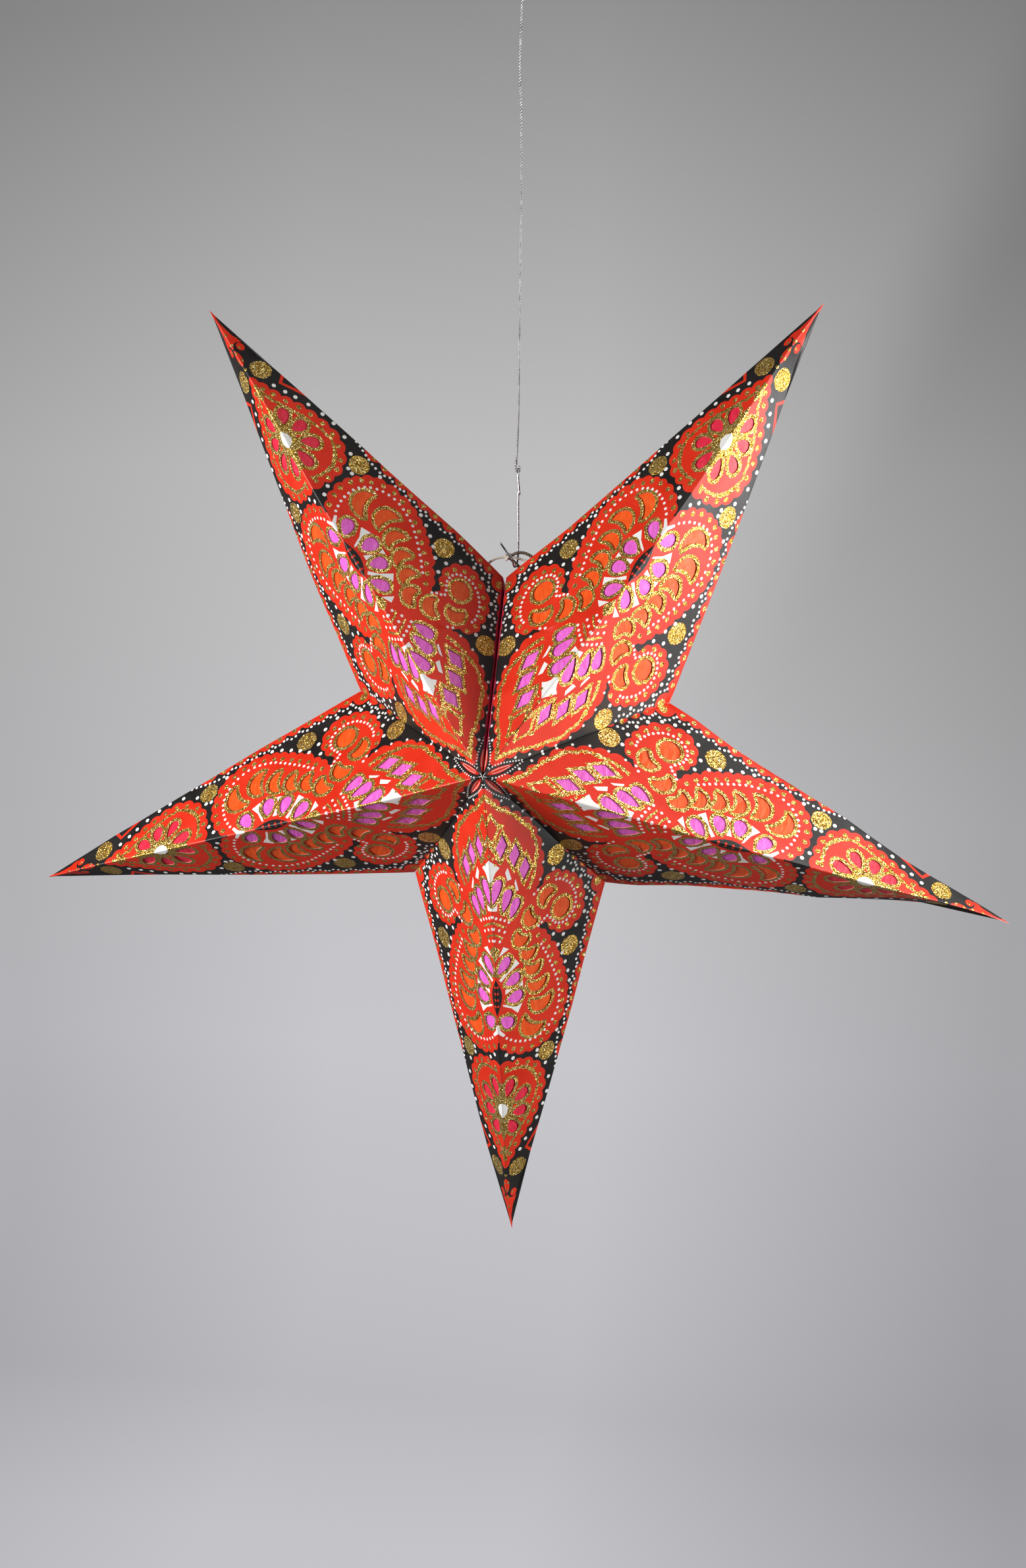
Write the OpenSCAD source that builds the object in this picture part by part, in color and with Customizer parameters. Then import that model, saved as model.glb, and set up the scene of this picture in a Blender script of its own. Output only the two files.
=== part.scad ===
// Folded paper star lantern, hung by a tied seam
// Five arms of printed card, each one folded sheet with cut-out windows, lined with tissue.
// Millimetres, Z up, star in the XZ plane with its printed front facing -Y.
// The origin is the top of the hanging loop.

/* [Star] */
// radius of the five tips
tip_r = 315; // [300:5:330]
// radius of the five notches between the arms
notch_r = 102; // [98:1:106]
// depth from the middle plane to the front apex, and to the back apex
half_depth = 92; // [86:1:98]

/* [Card] */
// thickness of the printed card
card_t = 0.5; // [0.4:0.1:0.8]
// width of the glue tabs along the valleys
tab_w = 8; // [6:0.5:10]
// how far a tab stops short of each end of its fold
tab_end = 7; // [5:0.5:12]
// opening left along the one valley that is tied and not glued
seam_gap = 1.2; // [0.8:0.1:2]

/* [Windows] */
// radius of the round window in the curl
disc_r = 6.8; // [5.5:0.1:7.2]
// half length and half height of the diamond windows
diamond_half_l = 8.1; // [7:0.1:8.6]
diamond_half_h = 4.4; // [3.6:0.1:4.6]
// radius of a crescent's inner edge, as a multiple of its outer radius
crescent_cut = 1.6; // [1.4:0.1:2]

/* [Tissue lining] */
// thickness of the tissue glued behind the windows
tissue_t = 0.2; // [0.1:0.05:0.4]

/* [Tie string] */
// thickness of the tie string
string_d = 1.6; // [1.2:0.1:1.8]
// thickness of the loose loop of the knot
loop_d = 2; // [1.6:0.1:2.2]
// width of the knot between the arms
knot_d = 5; // [4.4:0.2:5.4]
// width of the stopper knots inside the arms
stopper_d = 4; // [3.8:0.2:5]
// width of the punched tie holes
tie_hole_d = 2.6; // [2.2:0.2:3]
// distance of a tie hole from the notch, along the edge
tie_along = 16; // [14:1:18]
// distance of a tie hole from the folded edge
tie_inset = 3; // [2.8:0.2:4]

/* [Hook and line] */
// thickness of the steel hook wire
hook_d = 1.1; // [0.9:0.1:1.2]
// thickness of the twisted hanging line
line_d = 1.4; // [1:0.1:1.4]
// width of the loop at the top of the line
top_loop_d = 12; // [10:1:16]

/* [Hidden] */
arm_step = 360 / 5;
half_step = arm_step / 2;
first_tip = 90 - half_step;
far = 600;
$fn = 48;

// one facet laid flat: the ridge runs along x from the apex to the tip, the notch is above it
ridge_l = norm([tip_r, half_depth]);
ridge_turn = atan(half_depth / tip_r);
notch_x = notch_r * cos(half_step);
notch_z = notch_r * sin(half_step);
notch_rise = half_depth * cos(ridge_turn) - notch_x * sin(ridge_turn);
facet_tilt = atan(notch_z / notch_rise);
flat_notch = [notch_x * cos(ridge_turn) + half_depth * sin(ridge_turn), norm([notch_rise, notch_z])];
edge_dir = ([ridge_l, 0] - flat_notch) / norm([ridge_l, 0] - flat_notch);
edge_in = [edge_dir.y, -edge_dir.x];

// glue tab laid flat in the valley plane, its fold along x from the apex to the notch
valley_l = norm([notch_r, half_depth]);
valley_turn = atan(half_depth / notch_r);
tab_outline = [
  [tab_end, 0], [valley_l - tab_end, 0],
  [valley_l - tab_end - tab_w, tab_w], [tab_end + tab_w, tab_w]
];

// the windows and linings are drawn on a facet with a ridge of this length, and scale with it
drawn_ridge = 328;
art = ridge_l / drawn_ridge;
// drop windows: x and y of the round end, direction of the point, distance to the point, width
tip_petals = [[217, 7, -17, 9.5, 7.6], [227.6, 16.8, -65, 8.4, 7.6], [240.5, 15, -102, 7.6, 7.6], [251, 8, -156, 8, 7.6]];
fan_petals = [[128, 8.4, -47, 8.8, 8.2], [142, 15, -81, 8, 8.4], [155.4, 16.2, -98, 8.3, 8.8], [171.8, 9, -134, 8.6, 8.2]];
feather_petals = [[74, 5.6, -19, 12.6, 7.8], [83, 12.8, -21, 11.6, 7.8], [91, 18.6, -30, 10, 7.8]];
// middle of each diamond window
diamonds = [[50, 10], [58.8, 19.2], [70, 26.4]];
diamond_turn = -7;
// crescent windows: x and y of the outer circle, its radius, direction of the bulge, thickness there
crescents = [
  [179.2, 27, 9.6, -38, 8], [165.2, 33.8, 8.5, -5, 8], [151, 32, 7.6, -5, 6.4], [139, 29.3, 6.5, -10, 6.2],
  [127.3, 26.5, 6.3, -12, 6.2], [115.7, 21.6, 6.4, -40, 7.2], [104.8, 30.5, 6.7, -63, 7.4], [95.8, 43.2, 6.4, -142, 7.4]
];
disc_at = [107.8, 54];

// outlines of the tissue on the same drawing, carried past the folds that it runs over
tip_sheet = [[204, -5], [206, 75], [263, 52], [263, -5]];
ridge_sheet = [
  [36, -5], [40, 14], [52, 25], [66, 33], [80, 30], [88, 25], [99, 20.5], [106, 14],
  [118, 13.5], [134, 18.4], [138, 21], [160, 22.8], [170, 15.6], [180, 14], [184, -5]
];
edge_sheet = [
  [106, 14.7], [118, 14.2], [134, 19.1], [138, 21.7], [160.2, 23.5], [170.4, 16.3], [180, 15.2],
  [193, 24], [202, 74], [134, 102], [117, 66], [98, 66], [86, 50], [87, 34], [99.5, 21.3]
];

// what hangs the star is placed from the open notch
notch_at = [0, 0, notch_r];
// tie hole of the arm right of the notch, and the way straight out of it
hole_at = back_point(flat_notch + tie_along * edge_dir + tie_inset * edge_in) - notch_at;
hole_out = arm_turn([sin(facet_tilt) * sin(ridge_turn), sin(facet_tilt) * cos(ridge_turn), cos(facet_tilt)]);
stopper_at = hole_at - (card_t + sqrt(pow(stopper_d / 2, 2) - pow(tie_hole_d / 2, 2))) * hole_out;
knot_at = [-2.6, 3.6, 12.3];
tie_points = [
  across(stopper_at), across(hole_at), across(hole_at + 1.4 * hole_out), [-9, 3.4, 11.5], knot_at,
  [3, 3.6, 11.7], [8, 3.6, 10.4], hole_at + 1.4 * hole_out, hole_at, stopper_at
];
loop_points = [
  [-1.5, 4.6, 12.6], [1.5, 5.4, 14.2], [5, 6, 14.8], [9, 6.6, 13.8], [12.2, 7.6, 11.4], [14, 10, 8.4],
  [12.4, 11.6, 5.4], [9, 11, 4], [6, 8.6, 4.6], [3.6, 6.8, 6.4], [1, 5.6, 9.2], [-1.5, 4.6, 11.4]
];
hook_points = [
  [3.4, 5.6, 49], [3.2, 5.1, 52], [2.8, 4.9, 57], [2.6, 5.3, 62], [2.6, 6.9, 64.4], [2.7, 8.5, 62],
  [2.9, 8.6, 57], [3, 7.8, 52.6], [3.1, 7.1, 49], [3.2, 7, 38], [3.2, 7.2, 26], [3, 7.8, 15], [2.6, 7.8, 9.6],
  [2.2, 6.4, 7], [1.8, 3.6, 6.4], [1.4, 0.9, 7.6], [0.8, -0.4, 10.6], [-2.8, -0.6, 16], [-6.6, -0.6, 21.4]
];
line_points = [
  [4, 5.3, 66], [3.6, 6, 63.6], [2.6, 6.9, 62.6], [1.4, 7.4, 64], [1.6, 7.2, 68], [2.4, 7, 73],
  [3.4, 7, 98], [4, 7, 158], [4.8, 7, 218], [4.6, 7, 270], [4, 7, 290], [4.6, 7, 310], [5.5, 7, 332]
];
top_ring_r = (top_loop_d - line_d) / 2;
mount_at = notch_at + line_points[len(line_points) - 1] + [0, 0, 2 * top_ring_r - line_d / 2];

// turns a point of an upright arm, drawn along x, to the arm right of the open notch
function arm_turn(p) =
  [p.x * cos(first_tip) - p.z * sin(first_tip), p.y, p.z * cos(first_tip) + p.x * sin(first_tip)];
// point of the flat drawing on the back of that arm
function back_point(p) = arm_turn([
  p.x * cos(ridge_turn) - p.y * cos(facet_tilt) * sin(ridge_turn),
  half_depth - p.x * sin(ridge_turn) - p.y * cos(facet_tilt) * cos(ridge_turn),
  p.y * sin(facet_tilt)
]);
function across(p) = [-p.x, p.y, p.z];

function unit(v) = v / norm(v);
function spline(a, b, c, d, t) =
  (2 * b + (c - a) * t + (2 * a - 5 * b + 4 * c - d) * t * t + (3 * b - a - 3 * c + d) * t * t * t) / 2;
function smooth(p, steps) = [
  for (i = [0:len(p) - 2])
    for (s = [0:steps - 1])
      spline(p[max(i - 1, 0)], p[i], p[i + 1], p[min(i + 2, len(p) - 1)], s / steps),
  p[len(p) - 1]
];
function heading(p, i) = unit(p[min(i + 1, len(p) - 1)] - p[max(i - 1, 0)]);
function ring(c, dir, side, r, n) =
  let (u = unit(cross(dir, side)), v = cross(dir, u))
  [for (k = [0:n - 1]) c + r * (cos(360 * k / n) * u + sin(360 * k / n) * v)];

// round tube along a smoothed run of points
module tube(points, d, side, steps = 3, n = 8) {
  p = smooth(points, steps);
  last = len(p) - 1;
  skin = [for (i = [0:last]) each ring(p[i], heading(p, i), side, d / 2, n)];
  walls = [
    for (i = [0:last - 1])
      for (k = [0:n - 1])
        let (a = i * n + k, b = i * n + (k + 1) % n)
        each [[a, a + n, b], [b, a + n, b + n]]
  ];
  first_cap = [for (k = [0:n - 1]) k];
  last_cap = [for (k = [n - 1:-1:0]) last * n + k];
  polyhedron(skin, concat(walls, [first_cap, last_cap]));
}

// drop shape with its round end at the origin and its point at x = l
module petal(l, w) {
  r = w / 2;
  side_r = (l * l + r * r) / w;
  sweep = asin(l / side_r);
  side = [for (i = [0:4]) side_r * [sin(i * sweep / 4), cos(i * sweep / 4) - 1] + [0, r]];
  round_end = [for (a = [120:30:240]) r * [cos(a), sin(a)]];
  polygon(concat([for (i = [4:-1:0]) side[i]], round_end, [for (i = [0:3]) [side[i].x, -side[i].y]]));
}

// crescent that bulges towards +x
module crescent(r, thick) {
  cut_r = crescent_cut * r;
  difference() {
    circle(r);
    translate([r - thick - cut_r, 0]) circle(cut_r, $fn = 120);
  }
}

module petals(list) {
  for (p = list) translate([p[0], p[1]]) rotate(p[2]) petal(p[3], p[4]);
}

// all windows of one facet
module windows() {
  scale(art) {
    petals(tip_petals);
    petals(fan_petals);
    petals(feather_petals);
    for (c = crescents) translate([c[0], c[1]]) rotate(c[3]) crescent(c[2], c[4]);
    translate(disc_at) circle(disc_r);
    for (d = diamonds)
      translate(d) rotate(diamond_turn)
        polygon([[-diamond_half_l, 0], [0, -diamond_half_h], [diamond_half_l, 0], [0, diamond_half_h]]);
  }
}

// flat card of one facet, with the tie hole where the seam is tied
module facet_card(tied) {
  difference() {
    polygon([[0, 0], [ridge_l, 0], flat_notch]);
    windows();
    if (tied) translate(flat_notch + tie_along * edge_dir + tie_inset * edge_in) circle(d = tie_hole_d);
  }
}

// stands flat work up on the front facet above the ridge, its outer face at z = 0
module on_facet() {
  translate([0, -half_depth, 0]) rotate([0, 0, ridge_turn]) rotate([facet_tilt, 0, 0]) children();
}

// stands flat work up in the valley plane above the ridge, its fold from the front apex to the notch
module on_valley() {
  rotate([0, -half_step, 0]) translate([0, -half_depth, 0]) rotate([0, 0, valley_turn]) children();
}

// the quarter of an arm that one facet closes, held back from the valley plane by gap
module quarter_room(gap = 0) {
  start = gap / sin(half_step);
  rotate([90, 0, 0]) linear_extrude(far) polygon([[start, 0], [far, 0], [far, (far - start) * tan(half_step)]]);
}

// one facet with its glue tab, mitred along the ridge and the outer edge
module quarter(gap, tied) {
  intersection() {
    union() {
      on_facet() translate([0, 0, -card_t]) linear_extrude(card_t) facet_card(tied);
      on_valley() translate([0, 0, -card_t - gap]) linear_extrude(card_t) polygon(tab_outline);
    }
    quarter_room(gap);
  }
}

// tissue against the inside of one facet
module quarter_lining(outline) {
  intersection() {
    on_facet() translate([0, 0, -card_t - tissue_t]) linear_extrude(tissue_t) scale(art) polygon(outline);
    quarter_room();
  }
}

// puts work on arm i, counted from the arm right of the open notch, and shifts the star to its frame
module on_arm(i) {
  translate(-mount_at) rotate([0, -first_tip - (i - 1) * arm_step, 0]) children();
}

// folded card of arm i: four facets, the ones beside the open notch held apart and punched
module arm(i) {
  color([0.8, 0.12, 0.1]) on_arm(i)
    for (lower = [0, 1])
      mirror([0, 0, lower])
        for (back = [0, 1])
          mirror([0, back, 0])
            let (open = (i == 1 && lower == 0) || (i == 2 && lower == 1))
            quarter(open ? seam_gap / 2 : 0, open && back == 1);
}

module tip_lining(i) {
  color([0.75, 0.08, 0.2]) on_arm(i)
    for (lower = [0, 1]) mirror([0, 0, lower]) for (back = [0, 1]) mirror([0, back, 0]) quarter_lining(tip_sheet);
}

// tissue folded over the front ridge, or the back ridge
module ridge_lining(i, back) {
  color([0.85, 0.4, 0.8]) on_arm(i)
    for (lower = [0, 1]) mirror([0, back, 0]) mirror([0, 0, lower]) quarter_lining(ridge_sheet);
}

// tissue folded over one outer edge
module edge_lining(i, lower) {
  color([0.95, 0.4, 0.1]) on_arm(i)
    for (back = [0, 1]) mirror([0, back, 0]) mirror([0, 0, lower]) quarter_lining(edge_sheet);
}

module at_notch() {
  translate(notch_at - mount_at) children();
}

module tie_string() {
  color([0.9, 0.87, 0.78]) at_notch() {
    tube(tie_points, string_d, [0, 1, 0]);
    tube(loop_points, loop_d, [0, 1, 0]);
    translate(knot_at) sphere(d = knot_d, $fn = 16);
    translate(stopper_at) sphere(d = stopper_d, $fn = 16);
    translate(across(stopper_at)) sphere(d = stopper_d, $fn = 16);
  }
}

module hook() {
  color([0.6, 0.6, 0.62]) at_notch() tube(hook_points, hook_d, [1, 0, 0]);
}

module line() {
  color([0.4, 0.4, 0.42]) at_notch() {
    tube(line_points, line_d, [1, 0, 0], steps = 4);
    translate(line_points[len(line_points) - 1] + [0, 0, top_ring_r])
      rotate([90, 0, 0]) rotate_extrude($fn = 24) translate([top_ring_r, 0]) circle(d = line_d, $fn = 10);
  }
}

module arm_1() arm(1);
module arm_2() arm(2);
module arm_3() arm(3);
module arm_4() arm(4);
module arm_5() arm(5);
module tip_lining_1() tip_lining(1);
module tip_lining_2() tip_lining(2);
module tip_lining_3() tip_lining(3);
module tip_lining_4() tip_lining(4);
module tip_lining_5() tip_lining(5);
module front_lining_1() ridge_lining(1, 0);
module front_lining_2() ridge_lining(2, 0);
module front_lining_3() ridge_lining(3, 0);
module front_lining_4() ridge_lining(4, 0);
module front_lining_5() ridge_lining(5, 0);
module back_lining_1() ridge_lining(1, 1);
module back_lining_2() ridge_lining(2, 1);
module back_lining_3() ridge_lining(3, 1);
module back_lining_4() ridge_lining(4, 1);
module back_lining_5() ridge_lining(5, 1);
module left_lining_1() edge_lining(1, 0);
module left_lining_2() edge_lining(2, 0);
module left_lining_3() edge_lining(3, 0);
module left_lining_4() edge_lining(4, 0);
module left_lining_5() edge_lining(5, 0);
module right_lining_1() edge_lining(1, 1);
module right_lining_2() edge_lining(2, 1);
module right_lining_3() edge_lining(3, 1);
module right_lining_4() edge_lining(4, 1);
module right_lining_5() edge_lining(5, 1);

arm_1();
arm_2();
arm_3();
arm_4();
arm_5();
tip_lining_1();
tip_lining_2();
tip_lining_3();
tip_lining_4();
tip_lining_5();
front_lining_1();
front_lining_2();
front_lining_3();
front_lining_4();
front_lining_5();
back_lining_1();
back_lining_2();
back_lining_3();
back_lining_4();
back_lining_5();
left_lining_1();
left_lining_2();
left_lining_3();
left_lining_4();
left_lining_5();
right_lining_1();
right_lining_2();
right_lining_3();
right_lining_4();
right_lining_5();
tie_string();
hook();
line();
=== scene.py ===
import math
import random

import bpy
import numpy as np
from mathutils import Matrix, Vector, noise
from mathutils.geometry import delaunay_2d_cdt


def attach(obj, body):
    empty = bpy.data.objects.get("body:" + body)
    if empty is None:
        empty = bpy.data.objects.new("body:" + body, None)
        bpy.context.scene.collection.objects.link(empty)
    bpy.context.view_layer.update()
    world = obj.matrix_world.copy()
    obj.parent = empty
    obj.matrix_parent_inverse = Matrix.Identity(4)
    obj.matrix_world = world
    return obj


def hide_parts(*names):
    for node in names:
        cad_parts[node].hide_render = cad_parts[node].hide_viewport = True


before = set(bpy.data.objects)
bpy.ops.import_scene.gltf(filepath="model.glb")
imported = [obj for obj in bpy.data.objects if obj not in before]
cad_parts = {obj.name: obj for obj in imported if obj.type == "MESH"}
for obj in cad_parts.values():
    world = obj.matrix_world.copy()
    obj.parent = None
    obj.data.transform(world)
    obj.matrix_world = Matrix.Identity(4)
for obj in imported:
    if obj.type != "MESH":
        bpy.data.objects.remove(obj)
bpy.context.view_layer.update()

mm = 0.001
scene = bpy.context.scene
scene.view_settings.view_transform = "Standard"
rng = random.Random(11)
noise.seed_set(11)  # or else the paper's waves differ from run to run

# the folded star in mm: its form as the CAD draws it, then how far the paper strays from that form
star = {
    "centre": (-5.5, -7.0, -443.9),  # from the top of the hanging loop
    "tipRadius": 315.0,
    "notchRadius": 102.0,
    "halfDepth": 92.0,
    "foldRadius": 0.8,  # how tightly the card is folded
    "tabFoldRadius": 0.7,
    "cardDepth": 0.45,
    # the open valley at the top: how far each of its two sides lies aside and forward at the notch
    "seamShift": {(0, 1): (-3.0, -1.5, 0.0), (1, -1): (-4.0, 0.3, 0.0)},
    "seamGap": 0.8,
    "gluedGap": 0.03,  # at the other valleys
    "armStart": 84.0,  # distance from the middle at which an arm stands free
    "tipTwist": (0, 0, 0, 0, -7),  # degrees about the front ridge
    "twistFrom": 215.0,
    "twistLength": 85.0,
    # how far each arm is pressed narrow: from the notch on, then from this far out, over this length,
    # by this much more
    "notchPinch": (100.0, 50.0),
    "tipPinch": ((0, 262, 35, 0.25), (0, 262, 35, 0.25), (0, 262, 35, 0.25), (0, 262, 35, 0.28),
                 (0.1, 205, 85, 0.39)),
    "pinchDepth": 0.93,  # how much of a facet's width goes into depth where an arm is narrow
    "bow": 0.7,
    # how the paper hangs out of true, in mm: right and up in the picture, one for each tip
    "tipShift": ((-7.9, 4.5), (4.4, 2.5), (-3.8, 2.6), (-1.6, 0.6), (1.4, 2.6)),
    # last stretch of each tip
    "curlFrom": 268.0,
    "tipCurl": ((2.5, 1.0, 1.6), (-2.0, -1.5, 1.2), (0.0, 1.5, -1.0), (2.5, 0.5, 0.0), (-1.0, -1.0, -2.2)),
    "notchShift": ((-0.6, 0.8), (2.9, 0.0), (-0.4, 0.8), (-1.7, -0.4), (-0.8, -2.0)),
    "notchSpread": 38.0,  # how far round a notch that shift is felt
    "waveLength": 58.0,
    "waveHeight": (0.8, 1.0, 0.8),
}

centre = np.array(star["centre"])
armStep = 72.0
tipAngles = [54.0 + armStep * i for i in range(5)]
halfStep = math.radians(armStep / 2)
ridgeTurn = math.atan(star["halfDepth"] / star["tipRadius"])
ridgeLength = math.hypot(star["tipRadius"], star["halfDepth"])
notchX = star["notchRadius"] * math.cos(halfStep)
notchZ = star["notchRadius"] * math.sin(halfStep)
notchRise = star["halfDepth"] * math.cos(ridgeTurn) - notchX * math.sin(ridgeTurn)
facetTilt = math.atan(notchZ / notchRise)
notchFlat = np.array([notchX * math.cos(ridgeTurn) + star["halfDepth"] * math.sin(ridgeTurn),
                      math.hypot(notchRise, notchZ)])
valleyDir = notchFlat / np.linalg.norm(notchFlat)
valleyIn = np.array([valleyDir[1], -valleyDir[0]])
edgeDir = np.array([ridgeLength, 0.0]) - notchFlat
edgeDir /= np.linalg.norm(edgeDir)
edgeIn = np.array([edgeDir[1], -edgeDir[0]])
cr, sr, ct, st = math.cos(ridgeTurn), math.sin(ridgeTurn), math.cos(facetTilt), math.sin(facetTilt)
facetNormal = np.array([st * sr, -st * cr, ct])
valleyNormal = np.array([-math.sin(halfStep), 0.0, math.cos(halfStep)])
ridgeHalfTurn = math.asin(facetNormal[2])
edgeHalfTurn = math.asin(-facetNormal[1])
valleyTurn = math.acos(float(facetNormal @ valleyNormal))
art = ridgeLength / 328.0


# where the photograph was taken from: degrees round to the right and up, metres from the aim, and the
# aim from the middle
view = {"azimuth": 9.9, "elevation": 11.97, "distance": 1.205, "aim": (0.0012, 0.0, -0.0234), "lens": 45.38}


def placeCamera():
    azimuth, elevation = math.radians(view["azimuth"]), math.radians(view["elevation"])
    target = Vector(centre * mm) + Vector(view["aim"])
    back = Vector((math.sin(azimuth) * math.cos(elevation), -math.cos(azimuth) * math.cos(elevation),
                   math.sin(elevation)))
    data = bpy.data.cameras.new("camera")
    data.sensor_fit = "VERTICAL"
    data.sensor_height = 36.0
    data.lens = view["lens"]
    data.clip_start, data.clip_end = 0.02, 20.0
    camera = bpy.data.objects.new("camera", data)
    camera.location = target + back * view["distance"]
    camera.rotation_euler = back.to_track_quat("Z", "Y").to_euler()
    scene.collection.objects.link(camera)
    scene.camera = camera


placeCamera()
viewRight = np.array([math.cos(math.radians(view["azimuth"])), math.sin(math.radians(view["azimuth"])), 0.0])


def clamp01(v):
    return np.clip(v, 0.0, 1.0)


# the paper's own unevenness, the same for all that is glued to it; points in mm from the star's centre
def bend(p):
    out = p.copy()
    for i, angle in enumerate(tipAngles):
        a = math.radians(angle)
        along = p[:, 0] * math.cos(a) + p[:, 2] * math.sin(a)
        across = -p[:, 0] * math.sin(a) + p[:, 2] * math.cos(a)
        inArm = (along > star["armStart"]) & (np.abs(across) < along * math.tan(halfStep) + 0.5)
        near, begin, length, far = star["tipPinch"][i]
        nearFrom, nearLength = star["notchPinch"]
        pressed = near * clamp01((along - nearFrom) / nearLength) + far * clamp01((along - begin) / length)
        narrow = np.where(inArm, 1 - pressed, 1.0)
        deeper = np.sqrt(1 + star["pinchDepth"] * (1 - narrow ** 2))
        out[:, 0] -= across * (narrow - 1) * math.sin(a)
        out[:, 2] += across * (narrow - 1) * math.cos(a)
        out[:, 1] += p[:, 1] * (deeper - 1)
        across = across * narrow
        twisted = np.where(inArm, clamp01((along - star["twistFrom"]) / star["twistLength"]), 0.0)
        turn = twisted ** 1.5 * math.radians(star["tipTwist"][i])
        behind = p[:, 1] + star["halfDepth"] * (1 - along / star["tipRadius"])
        outward = across * (np.cos(turn) - 1) - behind * np.sin(turn)
        out[:, 0] -= outward * math.sin(a)
        out[:, 2] += outward * math.cos(a)
        out[:, 1] += across * np.sin(turn) + behind * (np.cos(turn) - 1)
        t = np.where(inArm, clamp01((along - star["armStart"]) / (star["tipRadius"] - star["armStart"])), 0.0)
        right, up = star["tipShift"][i]
        shift = viewRight * right + np.array([0, 0, up])
        out += (t ** 1.25)[:, None] * shift
        c = np.where(inArm, clamp01((along - star["curlFrom"]) / (star["tipRadius"] - star["curlFrom"])), 0.0)
        out += (c ** 2)[:, None] * np.array(star["tipCurl"][i])
    for i, angle in enumerate(tipAngles):
        a = math.radians(angle) + halfStep
        notch = np.array([math.cos(a), 0, math.sin(a)]) * star["notchRadius"]
        w = np.exp(-np.sum((p - notch) ** 2, axis=1) / (2 * star["notchSpread"] ** 2))
        right, up = star["notchShift"][i]
        out += w[:, None] * (viewRight * right + np.array([0, 0, up]))
    soft = np.array([noise.noise_vector(Vector(q) / star["waveLength"]) for q in p])
    return out + soft * np.array(star["waveHeight"])


# how far one facet bows out, its own for each
def facetBow(arm, face, side):
    return star["bow"] * random.Random(arm * 7 + face * 3 + side).uniform(-0.9, 1.3)


# puts flat work, in mm on the drawn facet, onto one facet of one arm; returns metres in the row frame
def onFacet(xy, depth, arm, face, side, bow=0.0):
    x, y = xy[:, 0].copy(), xy[:, 1].copy()
    depth = np.array(depth, dtype=float) * np.ones(len(x))
    width = np.maximum(np.minimum(x * valleyDir[1] / valleyDir[0],
                                  (ridgeLength - x) * -edgeDir[1] / edgeDir[0]), 0.0)
    scale = np.minimum(1.0, np.maximum(width, 0.02) * 0.28 / star["foldRadius"])
    edge = (x - ridgeLength) * edgeIn[0] + y * edgeIn[1]
    valley = x * valleyIn[0] + y * valleyIn[1]
    radius = star["foldRadius"] * scale
    # ridge
    reach = radius * math.tan(ridgeHalfTurn)
    a = ridgeHalfTurn * clamp01(1 - y / reach)
    dy = np.where(y < reach, reach - radius * np.sin(a) - y, 0.0)
    depth += radius * (1 - np.cos(a))
    # outer edge
    reach = radius * math.tan(edgeHalfTurn)
    a = edgeHalfTurn * clamp01(1 - edge / reach)
    de = np.where(edge < reach, reach - radius * np.sin(a) - edge, 0.0)
    depth += radius * (1 - np.cos(a))
    # valley, which turns on into the glue tab
    radius = star["tabFoldRadius"] * scale
    reach = radius * math.tan(valleyTurn / 2)
    a = np.where(valley >= 0, valleyTurn / 2 * clamp01(1 - valley / reach),
                 valleyTurn / 2 * (1 + clamp01(-valley / reach)))
    past = np.maximum(-valley - reach, 0.0)
    newValley = reach - radius * np.sin(a) - math.cos(valleyTurn) * past
    dv = np.where(valley < reach, newValley - valley, 0.0)
    depth += np.where(valley < reach, radius * (1 - np.cos(a)) + math.sin(valleyTurn) * past, 0.0)
    bulge = np.maximum(y * edge * valley, 0.0) / 52000.0
    depth -= bow * np.minimum(bulge, 1.0)
    x = x + de * edgeIn[0] + dv * valleyIn[0]
    y = y + dy + de * edgeIn[1] + dv * valleyIn[1]
    p = np.stack([x * cr - y * ct * sr, -star["halfDepth"] + x * sr + y * ct * cr, y * st], axis=1)
    p -= depth[:, None] * facetNormal
    gap = star["seamGap"] if (arm, side) in star["seamShift"] else star["gluedGap"]
    p -= (clamp01(1 - valley / 22.0) * gap / 2)[:, None] * valleyNormal
    if face > 0:
        p[:, 1] *= -1
    if side < 0:
        p[:, 2] *= -1
    c, s = math.cos(math.radians(tipAngles[arm])), math.sin(math.radians(tipAngles[arm]))
    p = np.stack([p[:, 0] * c - p[:, 2] * s, p[:, 1], p[:, 0] * s + p[:, 2] * c], axis=1)
    shift = np.array(star["seamShift"].get((arm, side), (0, 0, 0)))
    p += (clamp01(1 - valley / 38.0) * clamp01(xy[:, 0] / notchFlat[0]))[:, None] * shift
    return (bend(p) + centre) * mm


def ccw(points):
    area = sum(a[0] * b[1] - b[0] * a[1] for a, b in zip(points, points[1:] + points[:1]))
    return points if area > 0 else points[::-1]


def disc(x, y, r, sides=8, rough=0.0):
    turn = rng.uniform(0, 6.28)
    out = []
    for k in range(sides):
        a = turn + 6.28319 * k / sides
        wide = r * (1 + rng.uniform(-rough, rough))
        high = r * (1 + rng.uniform(-rough, rough))
        out.append((x + wide * math.cos(a), y + high * math.sin(a)))
    return out


# points between a and b on a bow to the left of the way
def bowed(a, b, rise, steps):
    dx, dy = b[0] - a[0], b[1] - a[1]
    return [(a[0] + dx * t - dy * 4 * rise * t * (1 - t), a[1] + dy * t + dx * 4 * rise * t * (1 - t))
            for t in (k / steps for k in range(steps))]


def scallops(cusps, rise=0.25, steps=6):
    out = []
    for a, b in zip(cusps, cusps[1:]):
        out += bowed(a, b, rise, steps)
    return out + [cusps[-1]]


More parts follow.
